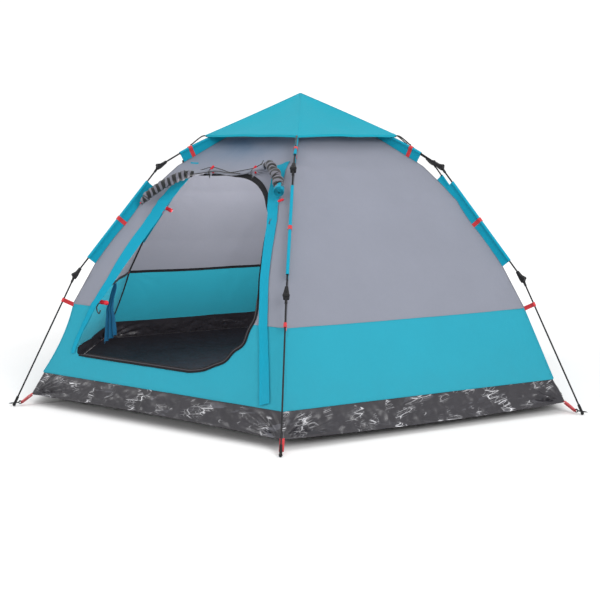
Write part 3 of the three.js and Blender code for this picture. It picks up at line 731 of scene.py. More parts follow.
rivet_finish = steel("bright_steel", colour(205, 208, 212))
slider_finish = steel("dark_steel", colour(96, 98, 104))
roll_finish = striped_roll("rolled_cloth", colour(122, 122, 134), colour(8, 11, 16))


# ---- canopy
def ring_grid(heights, proud=0.0):
    """The six walls at the given heights as one ring of points."""
    across = ring_row(-1, 1, 64)
    return round_walls(lambda wall: wall_points(wall, across, heights[:, None], proud))


def height_steps(low, high, step):
    """Heights from low to high that include every bend of the corner line."""
    stops = [low] + [z for _, z in CORNER_LINE if low + 0.002 < z < high - 0.002] + [high]
    out = [np.linspace(a, b, max(2, int((b - a) / step)), endpoint=False) for a, b in zip(stops, stops[1:])]
    return np.concatenate(out + [[high]])


def door_cutter():
    """A prism through the door's wall, shaped like its opening."""
    reach = 0.25
    line = door_outline()
    ends = [door_points(*line.T, reach), door_points(*line.T, -reach)]
    count = len(line)
    faces = [[count + i, count + (i + 1) % count, (i + 1) % count, i] for i in range(count)]
    faces += [list(range(count)), list(range(count, 2 * count))[::-1]]
    mesh = bpy.data.meshes.new("door_cutter")
    mesh.from_pydata(np.concatenate(ends).tolist(), [], faces)
    return linked("door_cutter", mesh)


def cut_door(obj, cutter):
    modifier = obj.modifiers.new("door", "BOOLEAN")
    modifier.object = cutter
    modifier.operation = "DIFFERENCE"
    modifier.solver = "EXACT"
    graph = bpy.context.evaluated_depsgraph_get()
    mesh = bpy.data.meshes.new_from_object(obj.evaluated_get(graph))
    obj.modifiers.clear()
    obj.data = mesh


def canopy():
    """The six walls: grey above the seam, blue below, lapped there, with the door cut out."""
    lap = 0.004
    upper = ring_grid(height_steps(SEAM[1] - lap, VENT[1], 0.016), CLOTH)
    lower = ring_grid(height_steps(TUB_TOP[1] - lap, SEAM[1] + lap, 0.014))
    cutter = door_cutter()
    walls = mesh_object("canopy_walls", [thick_sheet(upper, CLOTH, ring=True)], grey_cloth)
    skirt = mesh_object("canopy_skirt", [thick_sheet(lower, CLOTH, ring=True)], blue_cloth)
    for obj in (walls, skirt):
        cut_door(obj, cutter)
    bpy.data.objects.remove(cutter)
    on_fabric(walls, "grey_polyester", "canopy")
    on_fabric(skirt, "blue_polyester")


def corner_line(leg, z, inset):
    """Points down a canopy corner, `inset` inside the cloth."""
    return np.outer(corner_radius(z, leg) - inset, leg_axes(leg)[0]) + np.outer(z, UP)


def corner_piping():
    """A folded seam along each canopy corner, grey above the seam and blue below."""
    for name, low, high, finish, slot in (
        ("corner_seams_grey", SEAM[1], VENT[1], seam_cloth, "grey_polyester"),
        ("corner_seams_blue", TUB_TOP[1], SEAM[1], blue_cloth, "blue_polyester"),
    ):
        z = height_steps(low, high, 0.03)
        seams = [tube(corner_line(leg, z, 0.0005), 0.0026, 8) for leg in range(LEGS)]
        sewn(name, seams, finish, slot)


def inside_tapes():
    """Black tape over the seams inside: up each corner, and round the tent at the colour change."""
    z = height_steps(TUB_TOP[1] + 0.01, VENT[1] - 0.01, 0.03)
    parts = [strap(corner_line(leg, z, 0.006), leg_axes(leg)[1], 0.016, 0.001) for leg in range(LEGS)]
    heights = SEAM[1] + column(-0.008, 0.008, 4)
    along = np.linspace(-0.985, 0.985, 40)[None]
    for wall in range(LEGS):
        if wall != DOOR_WALL:
            parts.append(thick_sheet(wall_points(wall, along, heights, -0.0035), 0.001))
    sewn("inside_seam_tape", parts, tape_cloth, "vent_mesh")


def mesh_roof():
    """The vent's mesh under the cap, sagging a little between the legs."""
    t, share = ring_row(0, 1, 24), column(0, 1, 20)
    r = VENT[0] + (VENT_TOP[0] - VENT[0]) * share - 0.002
    z = VENT[1] + (VENT_TOP[1] - VENT[1]) * share - 0.012 * np.sin(math.pi * share) * 4 * t * (1 - t)
    points = round_walls(lambda wall: np.stack([*hexagon(wall, t, r), z], axis=-1))
    sheet = thick_sheet(points, FILM, ring=True)
    sewn("mesh_roof_panel", [sheet], mesh_cloth, "vent_mesh", "mesh_roof")


# ---- tub and floor
def tub_relief(wall, along, z, share):
    """Creases of the tub's film, and the folds that gather at its floor corners."""
    relief = 0.014 * (crinkle(along / 0.10 + 20 * wall, z / 0.06, 300 + wall) - 0.55)
    relief += 0.007 * (crinkle(along / 0.036, z / 0.030, 330 + wall, 2) - 0.55)
    relief *= 0.4 + 0.6 * (value_noise(along / 0.16, z / 0.2, 350 + wall) * 0.5 + 0.5)
    for side in (-1, 1):
        dx, dz = FLOOR_CORNER[0] / 2 - side * along, (z - FLOOR_CORNER[1]) * 1.6
        distance = np.hypot(dx, dz)
        fold = np.sin(np.arctan2(dz, dx) * 19 + wall) * np.minimum(1, distance / 0.03)
        relief = relief + 0.011 * np.exp(-((distance / 0.20) ** 2)) * fold
    return relief * np.minimum(1.0, (1 - share) * 2.6) ** 1.6 * np.minimum(1.0, share * 6)


def tub():
    """The film wall of the tub, a little inside the canopy at its top."""
    across, share = ring_row(-1, 1, 190), column(0, 1, 22)
    top_r, top_z = TUB_TOP[0] - 0.010, TUB_TOP[1] + 0.006
    r = FLOOR_CORNER[0] + (top_r - FLOOR_CORNER[0]) * share

    def ring(wall):
        z = FLOOR_CORNER[1] + (top_z - FLOOR_CORNER[1]) * share
        z = z + (1 - share) * FLOOR_LIFT.get(wall, 0.0) * (1 - across**2)
        x, y = hexagon(wall, (across + 1) / 2, r)
        push = tub_relief(wall, across * r / 2, z, share) * np.minimum(1.0, (1 - np.abs(across)) * 9)
        push = push - share * wall_relief(wall, across, TUB_TOP[1])
        azimuth = math.radians(30 + 60 * wall)
        way = np.array([0.8 * math.cos(azimuth), 0.8 * math.sin(azimuth), 0.5])
        return np.stack([x, y, z], axis=-1) + push[..., None] * way

    sheet = thick_sheet(round_walls(ring), FILM, ring=True)
    sewn("tub_film_wall", [sheet], tub_sheet, "tub_film", "tub_wall", sharp=55)


def floor_sheet():
    """The floor: flat on the ground, crinkled, and lifted along its edge to the tub wall."""
    flat = np.linspace(0.01, FLOOR_FLAT, 60)
    r = np.concatenate([flat, np.linspace(FLOOR_FLAT + 0.02, FLOOR_CORNER[0] - 0.004, 14)])[:, None]
    across = ring_row(-1, 1, 70)
    lift = np.clip((r - FLOOR_FLAT) / (FLOOR_CORNER[0] - FLOOR_FLAT), 0, 1) ** 1.3

    def ring(wall):
        edge = FLOOR_CORNER[1] + 0.0005 + FLOOR_LIFT.get(wall, 0.0) * (1 - across**2)
        x, y = hexagon(wall, (across + 1) / 2, r)
        bumps = 0.010 * np.clip(crinkle(x / 0.16 + 7, y / 0.16 + 3, 400) - 0.45, 0, 1) * (1 - lift) ** 0.5
        bumps = bumps * np.clip(r / 0.05, 0, 1)
        return np.stack([x, y, 0.0016 + lift * edge + bumps], axis=-1)

    sheet = thick_sheet(round_walls(ring)[::-1], 0.0010, ring=True)
    sewn("floor_sheet", [sheet], floor_film, "floor_sheet", "groundsheet", sharp=60)


# ---- sleeves and straps
def joint_place(name):
    """A joint's (distance from the centre line, height) on leg 1, which lies along +X."""
    joint = next(j for j in frame["joints"] if j["name"] == name)
    x, _, z = joint["pos_m"]
    return x, z


def pole_angle(start, end, near, far):
    """Angle below the horizontal of a pole that passes `near` and `far` inside its two end points."""
    run, drop = end[0] - start[0], start[1] - end[1]
    return math.atan2(drop, run) + math.asin((far - near) / math.hypot(run, drop))


HUB_EYE = joint_place("hub_pivot_1")
UPPER_PIN = joint_place("upper_fold_1")
LOWER_PIN = joint_place("lower_fold_1")
FOOT_TIP = (1.555, 0.0)
MIDDLE_ANGLE = pole_angle(UPPER_PIN, LOWER_PIN, PIN_OFFSET, PIN_OFFSET)
LOWER_ANGLE = pole_angle(LOWER_PIN, FOOT_TIP, PIN_OFFSET, 0)


def pole_stations(pin, angle, start, end, count):
    """Axis points (distance, height) of a straight pole, and the outward directions there."""
    along = np.array([math.cos(angle), -math.sin(angle)])
    out = np.array([math.sin(angle), math.cos(angle)])
    at = column(start, end, count)
    return np.array(pin) - out * PIN_OFFSET + at * along, np.repeat(out[None], count, axis=0)


def bow_stations(start, end, count):
    """The same for the bowed upper pole, between two shares of its bow."""
    foot_way = np.array([math.cos(UPPER_RISE), -math.sin(UPPER_RISE)])
    head_way = np.array([math.cos(HUB_RISE), -math.sin(HUB_RISE)])
    foot_out = np.array([math.sin(UPPER_RISE), math.cos(UPPER_RISE)])
    foot = np.array(UPPER_PIN) - foot_way * KNUCKLE_BACK - foot_out * PIN_OFFSET
    head = np.array(HUB_EYE) + head_way * POLE_NECK
    reach = np.linalg.solve(np.stack([foot_way, head_way], axis=1), foot - head)
    bend = foot - foot_way * reach[0]
    t = column(0, 1, 200)
    bow = (1 - t) ** 2 * foot + 2 * (1 - t) * t * bend + t * t * head
    shares = arc(bow) / arc(bow)[-1]
    at = np.linspace(start, end, count)
    return interpolated(at, shares, bow), right_of(interpolated(at, shares, np.gradient(bow, axis=0)))


def wrap_profile(radius, depth, gap):
    """A strip folded over a pole and down both sides of a web, as (sideways, outward) points."""
    turn = np.radians(np.linspace(-48, 228, 15))
    over = np.stack([radius * np.cos(turn), radius * np.sin(turn)], axis=1)
    fall = np.linspace(-depth, -radius * 2.0, 5)
    first = np.stack([np.full(5, gap), fall], axis=1)
    second = np.stack([np.full(5, -gap), fall[::-1]], axis=1)
    return np.vstack([first, over, second])


def folded_over(leg, stations, radius, depths, gap, thickness, seed=0):
    """Cloth folded over a pole; depths is how far the web under it reaches, one number or one a station."""
    outward, side = leg_axes(leg)
    points = []
    for c, (place, out, depth) in enumerate(zip(*stations, np.broadcast_to(depths, len(stations[0])))):
        y, w = wrap_profile(radius, max(depth, radius * 2.1), gap).T
        ripple = 0.0010 * value_noise(c * 0.4 + leg * 5, w / 0.02, 500 + seed) * (w < -radius * 1.5)
        centre = outward * place[0] + UP * place[1]
        lift = outward * out[0] + UP * out[1]
        points.append(centre + np.outer(w, lift) + np.outer(y + ripple, side))
    return thick_sheet(np.array(points).transpose(1, 0, 2), thickness)


def upper_web(stations):
    """Depth of the upper web: down to the canopy's corner, less at its slanted outer end."""
    places, outs = stations
    slope = (VENT[1] - EAVE[1]) / (EAVE[0] - VENT[0])
    corner = np.array([slope, 1.0]) / math.hypot(slope, 1.0)
    down = (places - np.array(EAVE)) @ corner / np.maximum(outs @ corner, 0.2)
    return np.minimum(down + 0.002, UPPER_WEB_MOST)


def sleeves():
    """Blue cloth folded over each upper and middle pole, with the web that joins it to the canopy."""
    upper, middle = [], []
    for leg in range(LEGS):
        # Counted from the hub outward, so that the folded cloth faces away from the pole.
        stations = bow_stations(UPPER_SLEEVE[1], UPPER_SLEEVE[0], 26)
        upper.append(folded_over(leg, stations, SLEEVE_R, upper_web(stations), 0.0006, 0.0008, 1))
        stations = pole_stations(UPPER_PIN, MIDDLE_ANGLE, *MIDDLE_SLEEVE, 40)
        middle.append(folded_over(leg, stations, SLEEVE_R, MIDDLE_WEB, 0.0006, 0.0008, 2))
    sewn("upper_pole_sleeves", upper, trim_cloth, "blue_polyester")
    sewn("middle_pole_sleeves", middle, trim_cloth, "blue_polyester")


def red_straps():
    """Red webbing: a tab round each sleeve, and the strap that ties each seam corner to its lower pole."""
    tabs, ties = [], []
    half = WEBBING / 2
    share = half / 0.75  # of the upper pole's bow, which is about 0.75 m long
    over_sleeve = SLEEVE_R + 0.0022
    for leg in range(LEGS):
        stations = bow_stations(UPPER_TAB + share, UPPER_TAB - share, 5)
        tabs.append(folded_over(leg, stations, over_sleeve, upper_web(stations) - 0.003, 0.0024, 0.0013))
        stations = pole_stations(UPPER_PIN, MIDDLE_ANGLE, MIDDLE_TAB - half, MIDDLE_TAB + half, 5)
        tabs.append(folded_over(leg, stations, over_sleeve, MIDDLE_WEB - 0.001, 0.0024, 0.0013))
        stations = pole_stations(LOWER_PIN, LOWER_ANGLE, SEAM_STRAP - half, SEAM_STRAP + half, 5)
        ties.append(folded_over(leg, stations, 0.0060, SEAM_WEB, 0.0008, 0.0014))
    sewn("sleeve_tabs", tabs, red_webbing, "red_webbing")
    sewn("seam_straps", ties, red_webbing, "red_webbing")


def in_plane(leg, line):
    """Points in a leg's upright plane from (distance, height) pairs."""
    outward, _ = leg_axes(leg)
    return [outward * r + UP * z for r, z in line]


def floor_straps():
    """Webbing from each floor corner, through the foot's loop and back."""
    loop_r, loop_z, bend_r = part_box("foot_1")[0].x + 0.002, 0.016, 0.0036
    r, z = FLOOR_CORNER
    line = [(r - 0.006, z + 0.004), (r + 0.012, z - 0.006)]
    for turn in np.radians(np.linspace(120, -110, 9)):
        line.append((loop_r + bend_r * math.cos(turn), loop_z + bend_r * math.sin(turn)))
    line += [(r + 0.010, z - 0.013), (r - 0.004, z - 0.004)]
    parts = [strap(in_plane(leg, line), -leg_axes(leg)[1], WEBBING, 0.0013) for leg in range(LEGS)]
    sewn("floor_corner_straps", parts, red_webbing, "red_webbing")


# ---- roof cap
CAP_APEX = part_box("roof_cap")[1].z


def cap_point(wall, t, share):
    """A point on the cap: t runs along the eave, share from the eave to the apex."""
    r = CAP_EAVE[0] * (1 - share) + 0.0005 * share
    z = CAP_EAVE[1] + (CAP_APEX - CAP_EAVE[1]) * share
    middle = 4 * t * (1 - t)
    bulge = value_noise(t * 5 + wall * 3, share * 4, 610)
    dip = middle * (0.012 * np.sin(math.pi * share) + 0.0025 * bulge * (1 - share))
    dip = dip - 0.004 * middle * (1 - share) ** 6
    x, y = hexagon(wall, t, r)
    x, y = x + CAP_LEAN[0] * share**2, y + CAP_LEAN[1] * share**2
    return np.stack(np.broadcast_arrays(x, y, z - dip), axis=-1)


def cap_panels():
    """The cap's six panels and the hem that hangs from their eaves."""
    panels = round_walls(lambda wall: cap_point(wall, ring_row(0, 1, 40), column(0, 1, 36)))
    hem = []
    for drop in (1.0, 0.7, 0.35):
        inward = 1 - 0.0015 * drop
        hem.append(panels[0] * np.array([inward, inward, 1]) - UP * CAP_HEM * drop)
    sheet = thick_sheet(np.concatenate([np.array(hem), panels]), 0.001, ring=True)
    on_cap(mesh_object("cap_panels", [sheet], cap_cloth), "blue_polyester", "roof_cap")


def cap_ridges():
    """Raised seams from the cap's corners to its apex, narrowing upwards."""
    ridges = []
    rows = np.linspace(-0.5, 0.5, 5)[:, None, None]
    width = np.linspace(0.011, 0.004, 30)[None, :, None]
    for leg in range(LEGS):
        line = cap_point(leg, 0.0, np.linspace(-0.01, 0.995, 30)) + UP * 0.0016
        points = line[None] + leg_axes(leg)[1] * rows * width - UP * np.abs(rows) * width * 0.55
        ridges.append(thick_sheet(points[::-1], 0.0010))
    on_cap(mesh_object("cap_ridge_seams", ridges, cap_cloth), "blue_polyester")


def cap_cords():
    """Elastic cords from the cap's corners to the upper sleeves."""
    line = [(0.543, 1.276), (0.556, 1.281), (0.575, 1.275), (0.600, 1.258), (0.622, 1.241), (0.632, 1.236)]
    cords = [tube(smooth_line(in_plane(leg, line), 24), 0.0034, 8) for leg in range(LEGS)]
    on_cap(mesh_object("cap_elastic_cords", cords, black_cord), "vent_mesh")


# ---- door
def beside(line, normals, reach):
    """(along, height) grids at the given reaches outward of a line; reach is rows x points."""
    return (line[None, :, k] + normals[None, :, k] * reach for k in (0, 1))


def edge_strip(line, inner, outer, proud, thickness, keep):
    """A closed strip along the kept part of the opening's edge, from `inner` to `outer` of it."""
    share = column(0, 1, 4)
    reach = inner[None] * (1 - share) + outer[None] * share
    return thick_sheet(door_points(*beside(line[keep], edge_normals(line)[keep], reach), proud), thickness)


def zip_end(line):
    """Index of the edge's first point past the zip's end, at the top left."""
    return int(np.argmax((line[:, 0] < ZIP_END) & (line[:, 1] > 0.9)))


def zip_tape():
    """Black tape beside the zip, wider round the arch and narrow on the sides."""
    line = door_outline()
    x, z = line.T
    arch = np.clip((x + 0.02) / 0.06, 0, 1) * np.clip((z - 0.92) / 0.06, 0, 1)
    bottom = np.clip((0.62 - z) / 0.1, 0, 1) * np.clip((x + 0.50) / 0.03, 0, 1)
    outer = 0.0035 + 0.0075 * arch + 0.001 * bottom
    inner = -0.0035 - 0.0065 * arch - 0.009 * bottom
    keep = slice(zip_end(line))
    tape = edge_strip(line, outer[keep], inner[keep], 0.0034, 0.0022, keep)
    sewn("zip_tape", [tape], tape_cloth, "vent_mesh")


def zip_coil():
    """The zip's thin coil, its radius stepping from tooth to tooth."""
    pitch = 0.0022
    line = door_outline()
    fine = resample(np.vstack([line, line[:1]]), int(arc(line)[-1] / pitch))[:-1]
    fine = fine[: zip_end(fine)]
    teeth = 0.0013 + 0.0006 * (np.arange(len(fine)) % 2)
    coil = tube(door_points(*fine.T, 0.0044), teeth, 6)
    sewn("zip_coil", [coil], tape_cloth, "zip_metal")


def door_binding():
    """Grey binding along the opening's lower edge, narrowing at both ends."""
    line = door_outline()
    keep = slice(int(np.argmax(line[:, 1] > 0.60)))
    run = arc(line[keep])
    fade = np.clip(np.minimum(run, run[-1] - run) / 0.05, 0.1, 1)
    strip = edge_strip(line, np.full(len(run), -0.004), -0.004 - 0.0036 * fade, 0.0044, 0.0010, keep)
    sewn("door_binding", [strip], binding_cloth, "grey_polyester")


def storm_band(name, centre, widths, count, proud, curl):
    """A flap sewn beside the opening, its free edge standing off the wall."""
    line = smooth_line(centre, count)
    width = np.interp(np.linspace(0, 1, count), np.linspace(0, 1, len(widths)), widths)
    share = column(-0.5, 0.5, 9)
    ripple = 0.0012 * value_noise(arc(line)[None] / 0.08, share * 3, 700)
    lift = proud + curl * (share + 0.5) ** 2 + ripple
    points = door_points(*beside(line, right_of(np.gradient(line, axis=0)), share * width[None]), lift)
    sewn(name, [thick_sheet(points[::-1], 0.001)], trim_cloth, "blue_polyester")


def storm_bands():
    """The blue flaps beside the opening, from top to bottom."""
    left = [
        (-0.262, 1.085), (-0.288, 1.020), (-0.318, 0.945), (-0.355, 0.835), (-0.386, 0.745), (-0.437, 0.600),
        (-0.482, 0.500), (-0.524, 0.415), (-0.551, 0.350), (-0.563, 0.290), (-0.560, 0.252),
    ]
    left_widths = (0.052, 0.060, 0.066, 0.066, 0.060, 0.050, 0.036, 0.026, 0.020, 0.018)
    right = [
        (0.262, 1.150), (0.284, 1.095), (0.310, 1.030), (0.342, 0.960), (0.390, 0.823), (0.433, 0.698),
        (0.473, 0.578), (0.506, 0.480), (0.560, 0.310), (0.606, 0.168),
    ]
    right_widths = (0.064, 0.060, 0.052, 0.046, 0.043, 0.042, 0.042, 0.042, 0.046, 0.048)
    storm_band("storm_band_left", left, left_widths, 90, 0.0045, 0.004)
    storm_band("storm_band_right", right, right_widths, 80, 0.0055, 0.005)


def roll_piece(centre, profile, count, ridge, seed):
    """A length of the rolled door along its centre points; profile gives (share, radius) pairs."""
    path = door_line(centre, count)
    sides = 28
    turn = np.arange(sides) / sides
    length = arc(path)
    radius = np.interp(length / length[-1], *zip(*profile))
    phase = length[:, None] / ROLL_PITCH + turn[None]
    ridges = 1 + ridge * np.cos(2 * math.pi * phase)
    ridges = ridges + 0.10 * value_noise(length[:, None] / 0.02, turn[None] * 6, seed)
    return path, tube(path, radius[:, None] * ridges, sides)


def rolled_door():
    """The outer door rolled up along the top of its opening: two hanging ends and a tied middle."""
    left = [
        (-0.412, 0.936, 0.034), (-0.394, 0.957, 0.042), (-0.365, 0.989, 0.045), (-0.318, 1.023, 0.045),
        (-0.274, 1.052, 0.043), (-0.232, 1.076, 0.036), (-0.185, 1.096, 0.020),
    ]
    left_profile = (
        (0, 0.004), (0.05, 0.013), (0.12, 0.019), (0.45, 0.022), (0.76, 0.022), (0.88, 0.014), (1, 0.007),
    )
    right = [
        (0.155, 1.117, 0.018), (0.198, 1.124, 0.032), (0.238, 1.118, 0.044), (0.274, 1.096, 0.050),
        (0.312, 1.070, 0.050), (0.345, 1.040, 0.050), (0.368, 1.014, 0.050),
    ]
    right_profile = (
        (0, 0.006), (0.16, 0.012), (0.30, 0.020), (0.40, 0.023), (0.47, 0.017), (0.56, 0.024),
        (0.65, 0.025), (0.71, 0.018), (0.80, 0.025), (0.88, 0.025), (0.93, 0.019), (1, 0.021),
    )
    middle = [
        (-0.200, 1.092, 0.024), (-0.113, 1.108, 0.018), (-0.050, 1.102, 0.015), (0.018, 1.097, 0.014),
        (0.080, 1.101, 0.016), (0.138, 1.110, 0.020), (0.200, 1.120, 0.028),
    ]
    middle_profile = (
        (0, 0.015), (0.15, 0.008), (0.23, 0.006), (0.45, 0.009), (0.70, 0.008), (0.82, 0.006), (0.92, 0.009),
        (1, 0.015),
    )
    left_path, left_roll = roll_piece(left, left_profile, 110, 0.09, 720)
    path, right_roll = roll_piece(right, right_profile, 90, 0.07, 724)
    _, tied = roll_piece(middle, middle_profile, 90, 0.05, 728)
    sewn("rolled_fly_ends", [left_roll, right_roll], roll_finish, "grey_polyester", "rolled_door")
    waists = ((0.47, 0.0205), (0.71, 0.0215), (0.93, 0.0225))
    turns = [elastic_turn(path, share, radius) for share, radius in waists]
    turns += [elastic_turn(left_path, share, 0.0195) for share in (0.13, 0.30, 0.47, 0.64, 0.80)]
    sewn("rolled_fly_shock_cord", turns, black_cord, "grey_polyester")
    sewn("rolled_fly_middle", [tied, *gathers()], grey_cloth, "grey_polyester")
    roll_end(path[-1], unit(path[-1] - path[-6]))


def elastic_turn(path, share, radius):
    """One turn of dark elastic round the roll at a share of its length."""
    place = min(int(share * (len(path) - 1)), len(path) - 2)
    ahead = unit(path[place + 1] - path[place])
    side = unit(np.cross(ahead, UP))
    turn = ring_row(0, 2 * math.pi, 24).T
    loop = radius * (np.cos(turn) * side + np.sin(turn) * np.cross(side, ahead))
    return tube(path[place] + loop + 0.006 * np.cos(turn) * ahead, 0.0026, 7, closed=True)


def gathers():
    """Small folds of the door's cloth pulled together under its two ties."""
    parts = []
    width = np.interp(np.linspace(0, 1, 16), (0, 0.6, 1), (0.0022, 0.0040, 0.0012))
    for centre in TIES:
        for swing in (-1.0, -0.5, 0.0, 0.5, 1.0):
            tip = (centre + 0.062 * swing, 1.088 + 0.026 * abs(swing), 0.006)
            middle = (centre + 0.030 * swing, 1.104 + 0.006 * abs(swing), 0.016)
            parts.append(tube(door_line([(centre, 1.112, 0.022), middle, tip], 16), width, 7))
    return parts


def roll_end(centre, along):
    """The open end of the roll: blue cloth wound in a spiral."""
    face = unit(along * 0.45 + np.array([0.35, -0.75, -0.25]))
    side = unit(np.cross(face, UP))
    turn = np.linspace(0, 2 * math.pi * 3.3, 110)
    r = 0.0040 + 0.0200 * turn / turn[-1]
    ring = np.outer(r * np.cos(turn), side) + np.outer(r * np.sin(turn), np.cross(side, face))
    depth = np.linspace(-0.016, 0.026, 6)[:, None, None] - 0.010 * (r / r[-1])[None, :, None] ** 2
    points = centre + along * 0.010 + ring[None] + face * depth
    sewn("roll_end_spiral", [thick_sheet(points, 0.0022)], trim_cloth, "blue_polyester")


def toggle(place, direction, length=0.030, radius=0.0062):
    """A small barrel with a waist, through which a cord runs."""
    share = np.linspace(-0.5, 0.5, 13)
    rounded = np.sqrt(np.clip(1 - (2 * share) ** 6, 0.05, 1))
    waisted = 1 - 0.18 * np.exp(-((share / 0.12) ** 2))
    path = place + np.outer(share * length, unit(np.array(direction)))
    return tube(path, radius * rounded * waisted, 12)


def toggles():
    """Red barrels: two at each tie, one at each end of the roll, two inside at the opening's left."""
    parts = []
    for x in TIES:
        place = door_points(x, 1.116, 0.026)
        parts.append(toggle(place, (0.75, -0.1, 0.65)))
        parts.append(toggle(place + np.array([0.002, 0.0, -0.020]), (0.9, -0.1, -0.3), 0.020, 0.0055))
    for at, direction, length, radius in (
        ((0.410, 0.968, 0.050), (1.0, 0.0, 0.35), 0.034, 0.006),
        ((-0.414, 0.942, 0.034), (1.0, 0.0, 0.1), 0.022, 0.0045),
        ((-0.320, 0.962, -0.055), (0.9, 0.0, -0.35), 0.052, 0.0105),
        ((-0.462, 0.504, -0.024), (1.0, 0.0, -0.05), 0.052, 0.0115),
    ):
        parts.append(toggle(door_points(*at), direction, length, radius))
    sewn("toggles", parts, red_plastic, "red_webbing")


def cord_line(points, radius=0.0020):
    return tube(door_line(points, 40), radius, 7)


def tie_cords():
    """Black cords: a loop at each tie, the runs between them, and one on the lower toggle inside."""
    parts = []
    for x in TIES:
        loop = [(x - 0.014, 1.122, 0.018), (x - 0.004, 1.096, 0.030), (x + 0.004, 1.080, 0.010)]
        parts.append(cord_line(loop))
    parts.append(cord_line([
        (-0.225, 1.082, 0.034), (-0.165, 1.104, 0.030), (-0.113, 1.117, 0.028), (-0.050, 1.108, 0.026),
        (0.015, 1.096, 0.025), (0.075, 1.104, 0.026), (0.142, 1.114, 0.028),
    ]))
    parts.append(cord_line([
        (-0.210, 1.080, 0.030), (-0.090, 1.101, 0.026), (-0.010, 1.094, 0.026), (0.075, 1.092, 0.024),
    ]))
    parts.append(cord_line([(0.142, 1.114, 0.028), (0.172, 1.130, 0.030), (0.205, 1.122, 0.062)]))
    parts.append(cord_line([
        (-0.484, 0.506, -0.030), (-0.503, 0.494, -0.034), (-0.505, 0.466, -0.036), (-0.494, 0.452, -0.038),
        (-0.486, 0.470, -0.040),
    ], 0.0032))
    sewn("tie_cords", parts, black_cord, "vent_mesh")


def vent_tab():
    """The small blue tab on the wall over the roll's left end."""
    path = [door_points(x, 1.148, 0.004) for x in np.linspace(-0.290, -0.242, 6)]
    tab = strap(path, (0, 0.3, 0.95), 0.008, 0.001)
    sewn("vent_tab", [tab], trim_cloth, "blue_polyester")


def inner_door():
    """The mesh door, gathered flat and hanging beside the opening on the inside, its end cut to a point."""
    rows, columns = 60, 33
    centre = [(-0.452, 0.600), (-0.446, 0.520), (-0.430, 0.430), (-0.408, 0.345)]
    x, z = smooth_line(centre, rows).T[..., None]
    share = column(0, 1, rows)
    t = np.linspace(-1, 1, columns)[None]
    half = np.interp(share, (0, 0.08, 0.40, 0.52, 0.9, 1), (0.006, 0.012, 0.015, 0.019, 0.030, 0.031))
    z = z - 0.014 * np.clip(share - 0.5, 0, 1) * t + 0.030 * share * t
    pleats = 0.006 * np.sin(9 * t + 1.5 * share) * (0.5 + 0.5 * share)
    proud = -0.050 + pleats + 0.003 * value_noise(share * 7, t * 2, 740)
    hang = thick_sheet(door_points(x + half * t, z, proud), 0.003)
    sewn("inner_door_gathered", [hang], inner_mesh, "vent_mesh", "inner_door")


def zip_slider():
    """The slider and its pull tab, on the zip at the door's right edge."""
    low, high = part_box("door_zip_slider")
    x, top, bottom = (low.x + high.x) / 2, high.z, low.z
    body = top - 0.008
    parts = []
    for side in (-0.0026, 0.0026):
        rail = [(x + side, top, 0.004), (x + side * 1.3, body, 0.0052), (x + side * 0.7, body - 0.010, 0.004)]
        parts.append(cord_line(rail, 0.0026))
    pull = [(x, body - 0.004, 0.008), (x + 0.001, body - 0.014, 0.0085), (x + 0.002, bottom + 0.004, 0.007)]
    widths = np.interp(np.linspace(0, 1, 14), (0, 0.2, 0.8, 1), (0.0035, 0.0050, 0.0062, 0.0030))
    parts.append(strap(door_line(pull, 14), (1, 0, 0), widths, 0.0012))
    obj = mesh_object("zip_slider_and_pull", parts, slider_finish)
    on_body(obj, "door_zip", ["door_zip_slider"])


# ---- frame finishes
KNUCKLE_PARTS = ("upper_knuckle", "lower_knuckle", "upper_tongue", "lower_tongue", "hub_body", "hub_cover")
FINISHES = (
    (("upper_pole", "middle_pole", "lower_pole"), pole_finish, 0.0008),
    (KNUCKLE_PARTS, knuckle_finish, 0.0007),
    (("foot",), foot_finish, 0.0007),
    (("hub_ring", "hub_rivet"), rivet_finish, 0.0004),
)


def frame_finishes():
    """Poles, knuckles, feet and hub keep their shape, with softened edges and their own finishes."""
    for prefixes, finish, edge in FINISHES:
        for name, node in frame["nodes"].items():
            if name.startswith(prefixes):
                painted(node, finish)
                softened(node, edge)


def painted(node, finish):
    while len(node.material_slots) > 1:
        node.data.materials.pop()
    if not node.material_slots:
        node.data.materials.append(finish)
    node.material_slots[0].link = "OBJECT"
    node.material_slots[0].material = finish


def softened(node, edge):
    weld = node.modifiers.new("weld", "WELD")
    weld.merge_threshold = 0.00002
    bevel = node.modifiers.new("soft_edges", "BEVEL")
    bevel.width = edge
    bevel.segments = 2
    bevel.limit_method = "ANGLE"
    bevel.angle_limit = math.radians(30)
    bevel.harden_normals = False


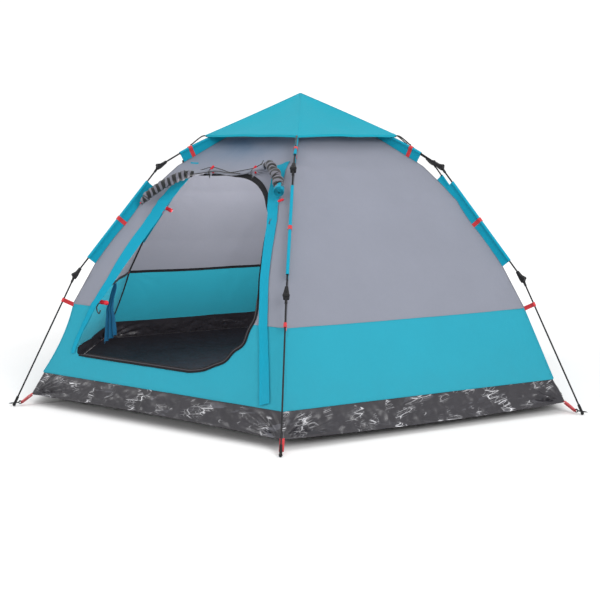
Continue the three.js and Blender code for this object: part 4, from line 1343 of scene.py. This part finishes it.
# ---- stage
def stage():
    """A pale floor, its colour painted brighter away from the tent to make up for the key light falling off
    there, so that it turns white.
    """
    material, _, place = new_material("pale_floor")
    away = add("VectorMath", {0: place}, operation="LENGTH").outputs["Value"]
    near = mixed(noise(place, 2.0), (0.78, 0.78, 0.78, 1), (0.80, 0.80, 0.80, 1))
    # Painted light: the colour rises to near white from 1.9 m out, where the key light falls off.
    shade = mixed(ranged(away, 0.0, 1.0, 1.9, 3.6), near, (0.98, 0.98, 0.98, 1))
    finished(material, {"Base Color": shade, "Roughness": 0.95, "Specular IOR Level": 0.0})
    mesh = bpy.data.meshes.new("studio_floor")
    half, below = 40.0, -0.001
    corners = [(x * half, y * half, below) for x, y in ((-1, -1), (1, -1), (1, 1), (-1, 1))]
    mesh.from_pydata(corners, [], [(0, 1, 2, 3)])
    mesh.materials.append(material)
    linked("studio_floor", mesh)


def area_light(name, place, target, size, energy):
    data = bpy.data.lights.new(name, "AREA")
    data.shape = "DISK"
    data.size = size
    data.energy = energy
    lamp = linked(name, data)
    lamp.location = place
    lamp.rotation_euler = (Vector(target) - Vector(place)).to_track_quat("-Z", "Y").to_euler()


def inside_light():
    """Stands in for the daylight that reaches the inside through all six walls."""
    data = bpy.data.lights.new("inside", "POINT")
    data.energy = 80
    data.color = (1.0, 0.955, 0.92)
    data.shadow_soft_size = 0.40
    lamp = linked("inside", data)
    lamp.location = (0.0, -0.20, 0.62)
    lamp.visible_camera = False


def world():
    made = bpy.data.worlds.new("studio")
    made.use_nodes = True
    background = made.node_tree.nodes["Background"]
    background.inputs["Color"].default_value = (1, 1, 1, 1)
    background.inputs["Strength"].default_value = STUDIO_WHITE
    bpy.context.scene.world = made
    bpy.context.scene.view_settings.view_transform = "Standard"


def camera():
    """The photo's viewpoint."""
    made = linked("camera", bpy.data.cameras.new("camera"))
    made.data.lens = LENS
    made.data.sensor_width = SENSOR
    made.location = CAMERA_AT
    made.rotation_euler = (math.pi / 2 - CAMERA_PITCH, 0, -CAMERA_YAW)
    bpy.context.scene.camera = made


canopy()
corner_piping()
inside_tapes()
mesh_roof()
tub()
floor_sheet()
sleeves()
red_straps()
floor_straps()
cap_panels()
cap_ridges()
cap_cords()
zip_tape()
zip_coil()
door_binding()
storm_bands()
rolled_door()
toggles()
tie_cords()
vent_tab()
inner_door()
zip_slider()
frame_finishes()
stage()
world()
area_light("key", (5.5, -3.5, 3.5), (0, 0, 0.6), 3.0, 240)
area_light("top", (-0.5, -0.5, 6.0), (0, 0, 0), 4.0, 60)
area_light("glint", (-3.0, -5.5, 1.6), (-0.6, -1.2, 0.1), 0.5, 60)
inside_light()
camera()
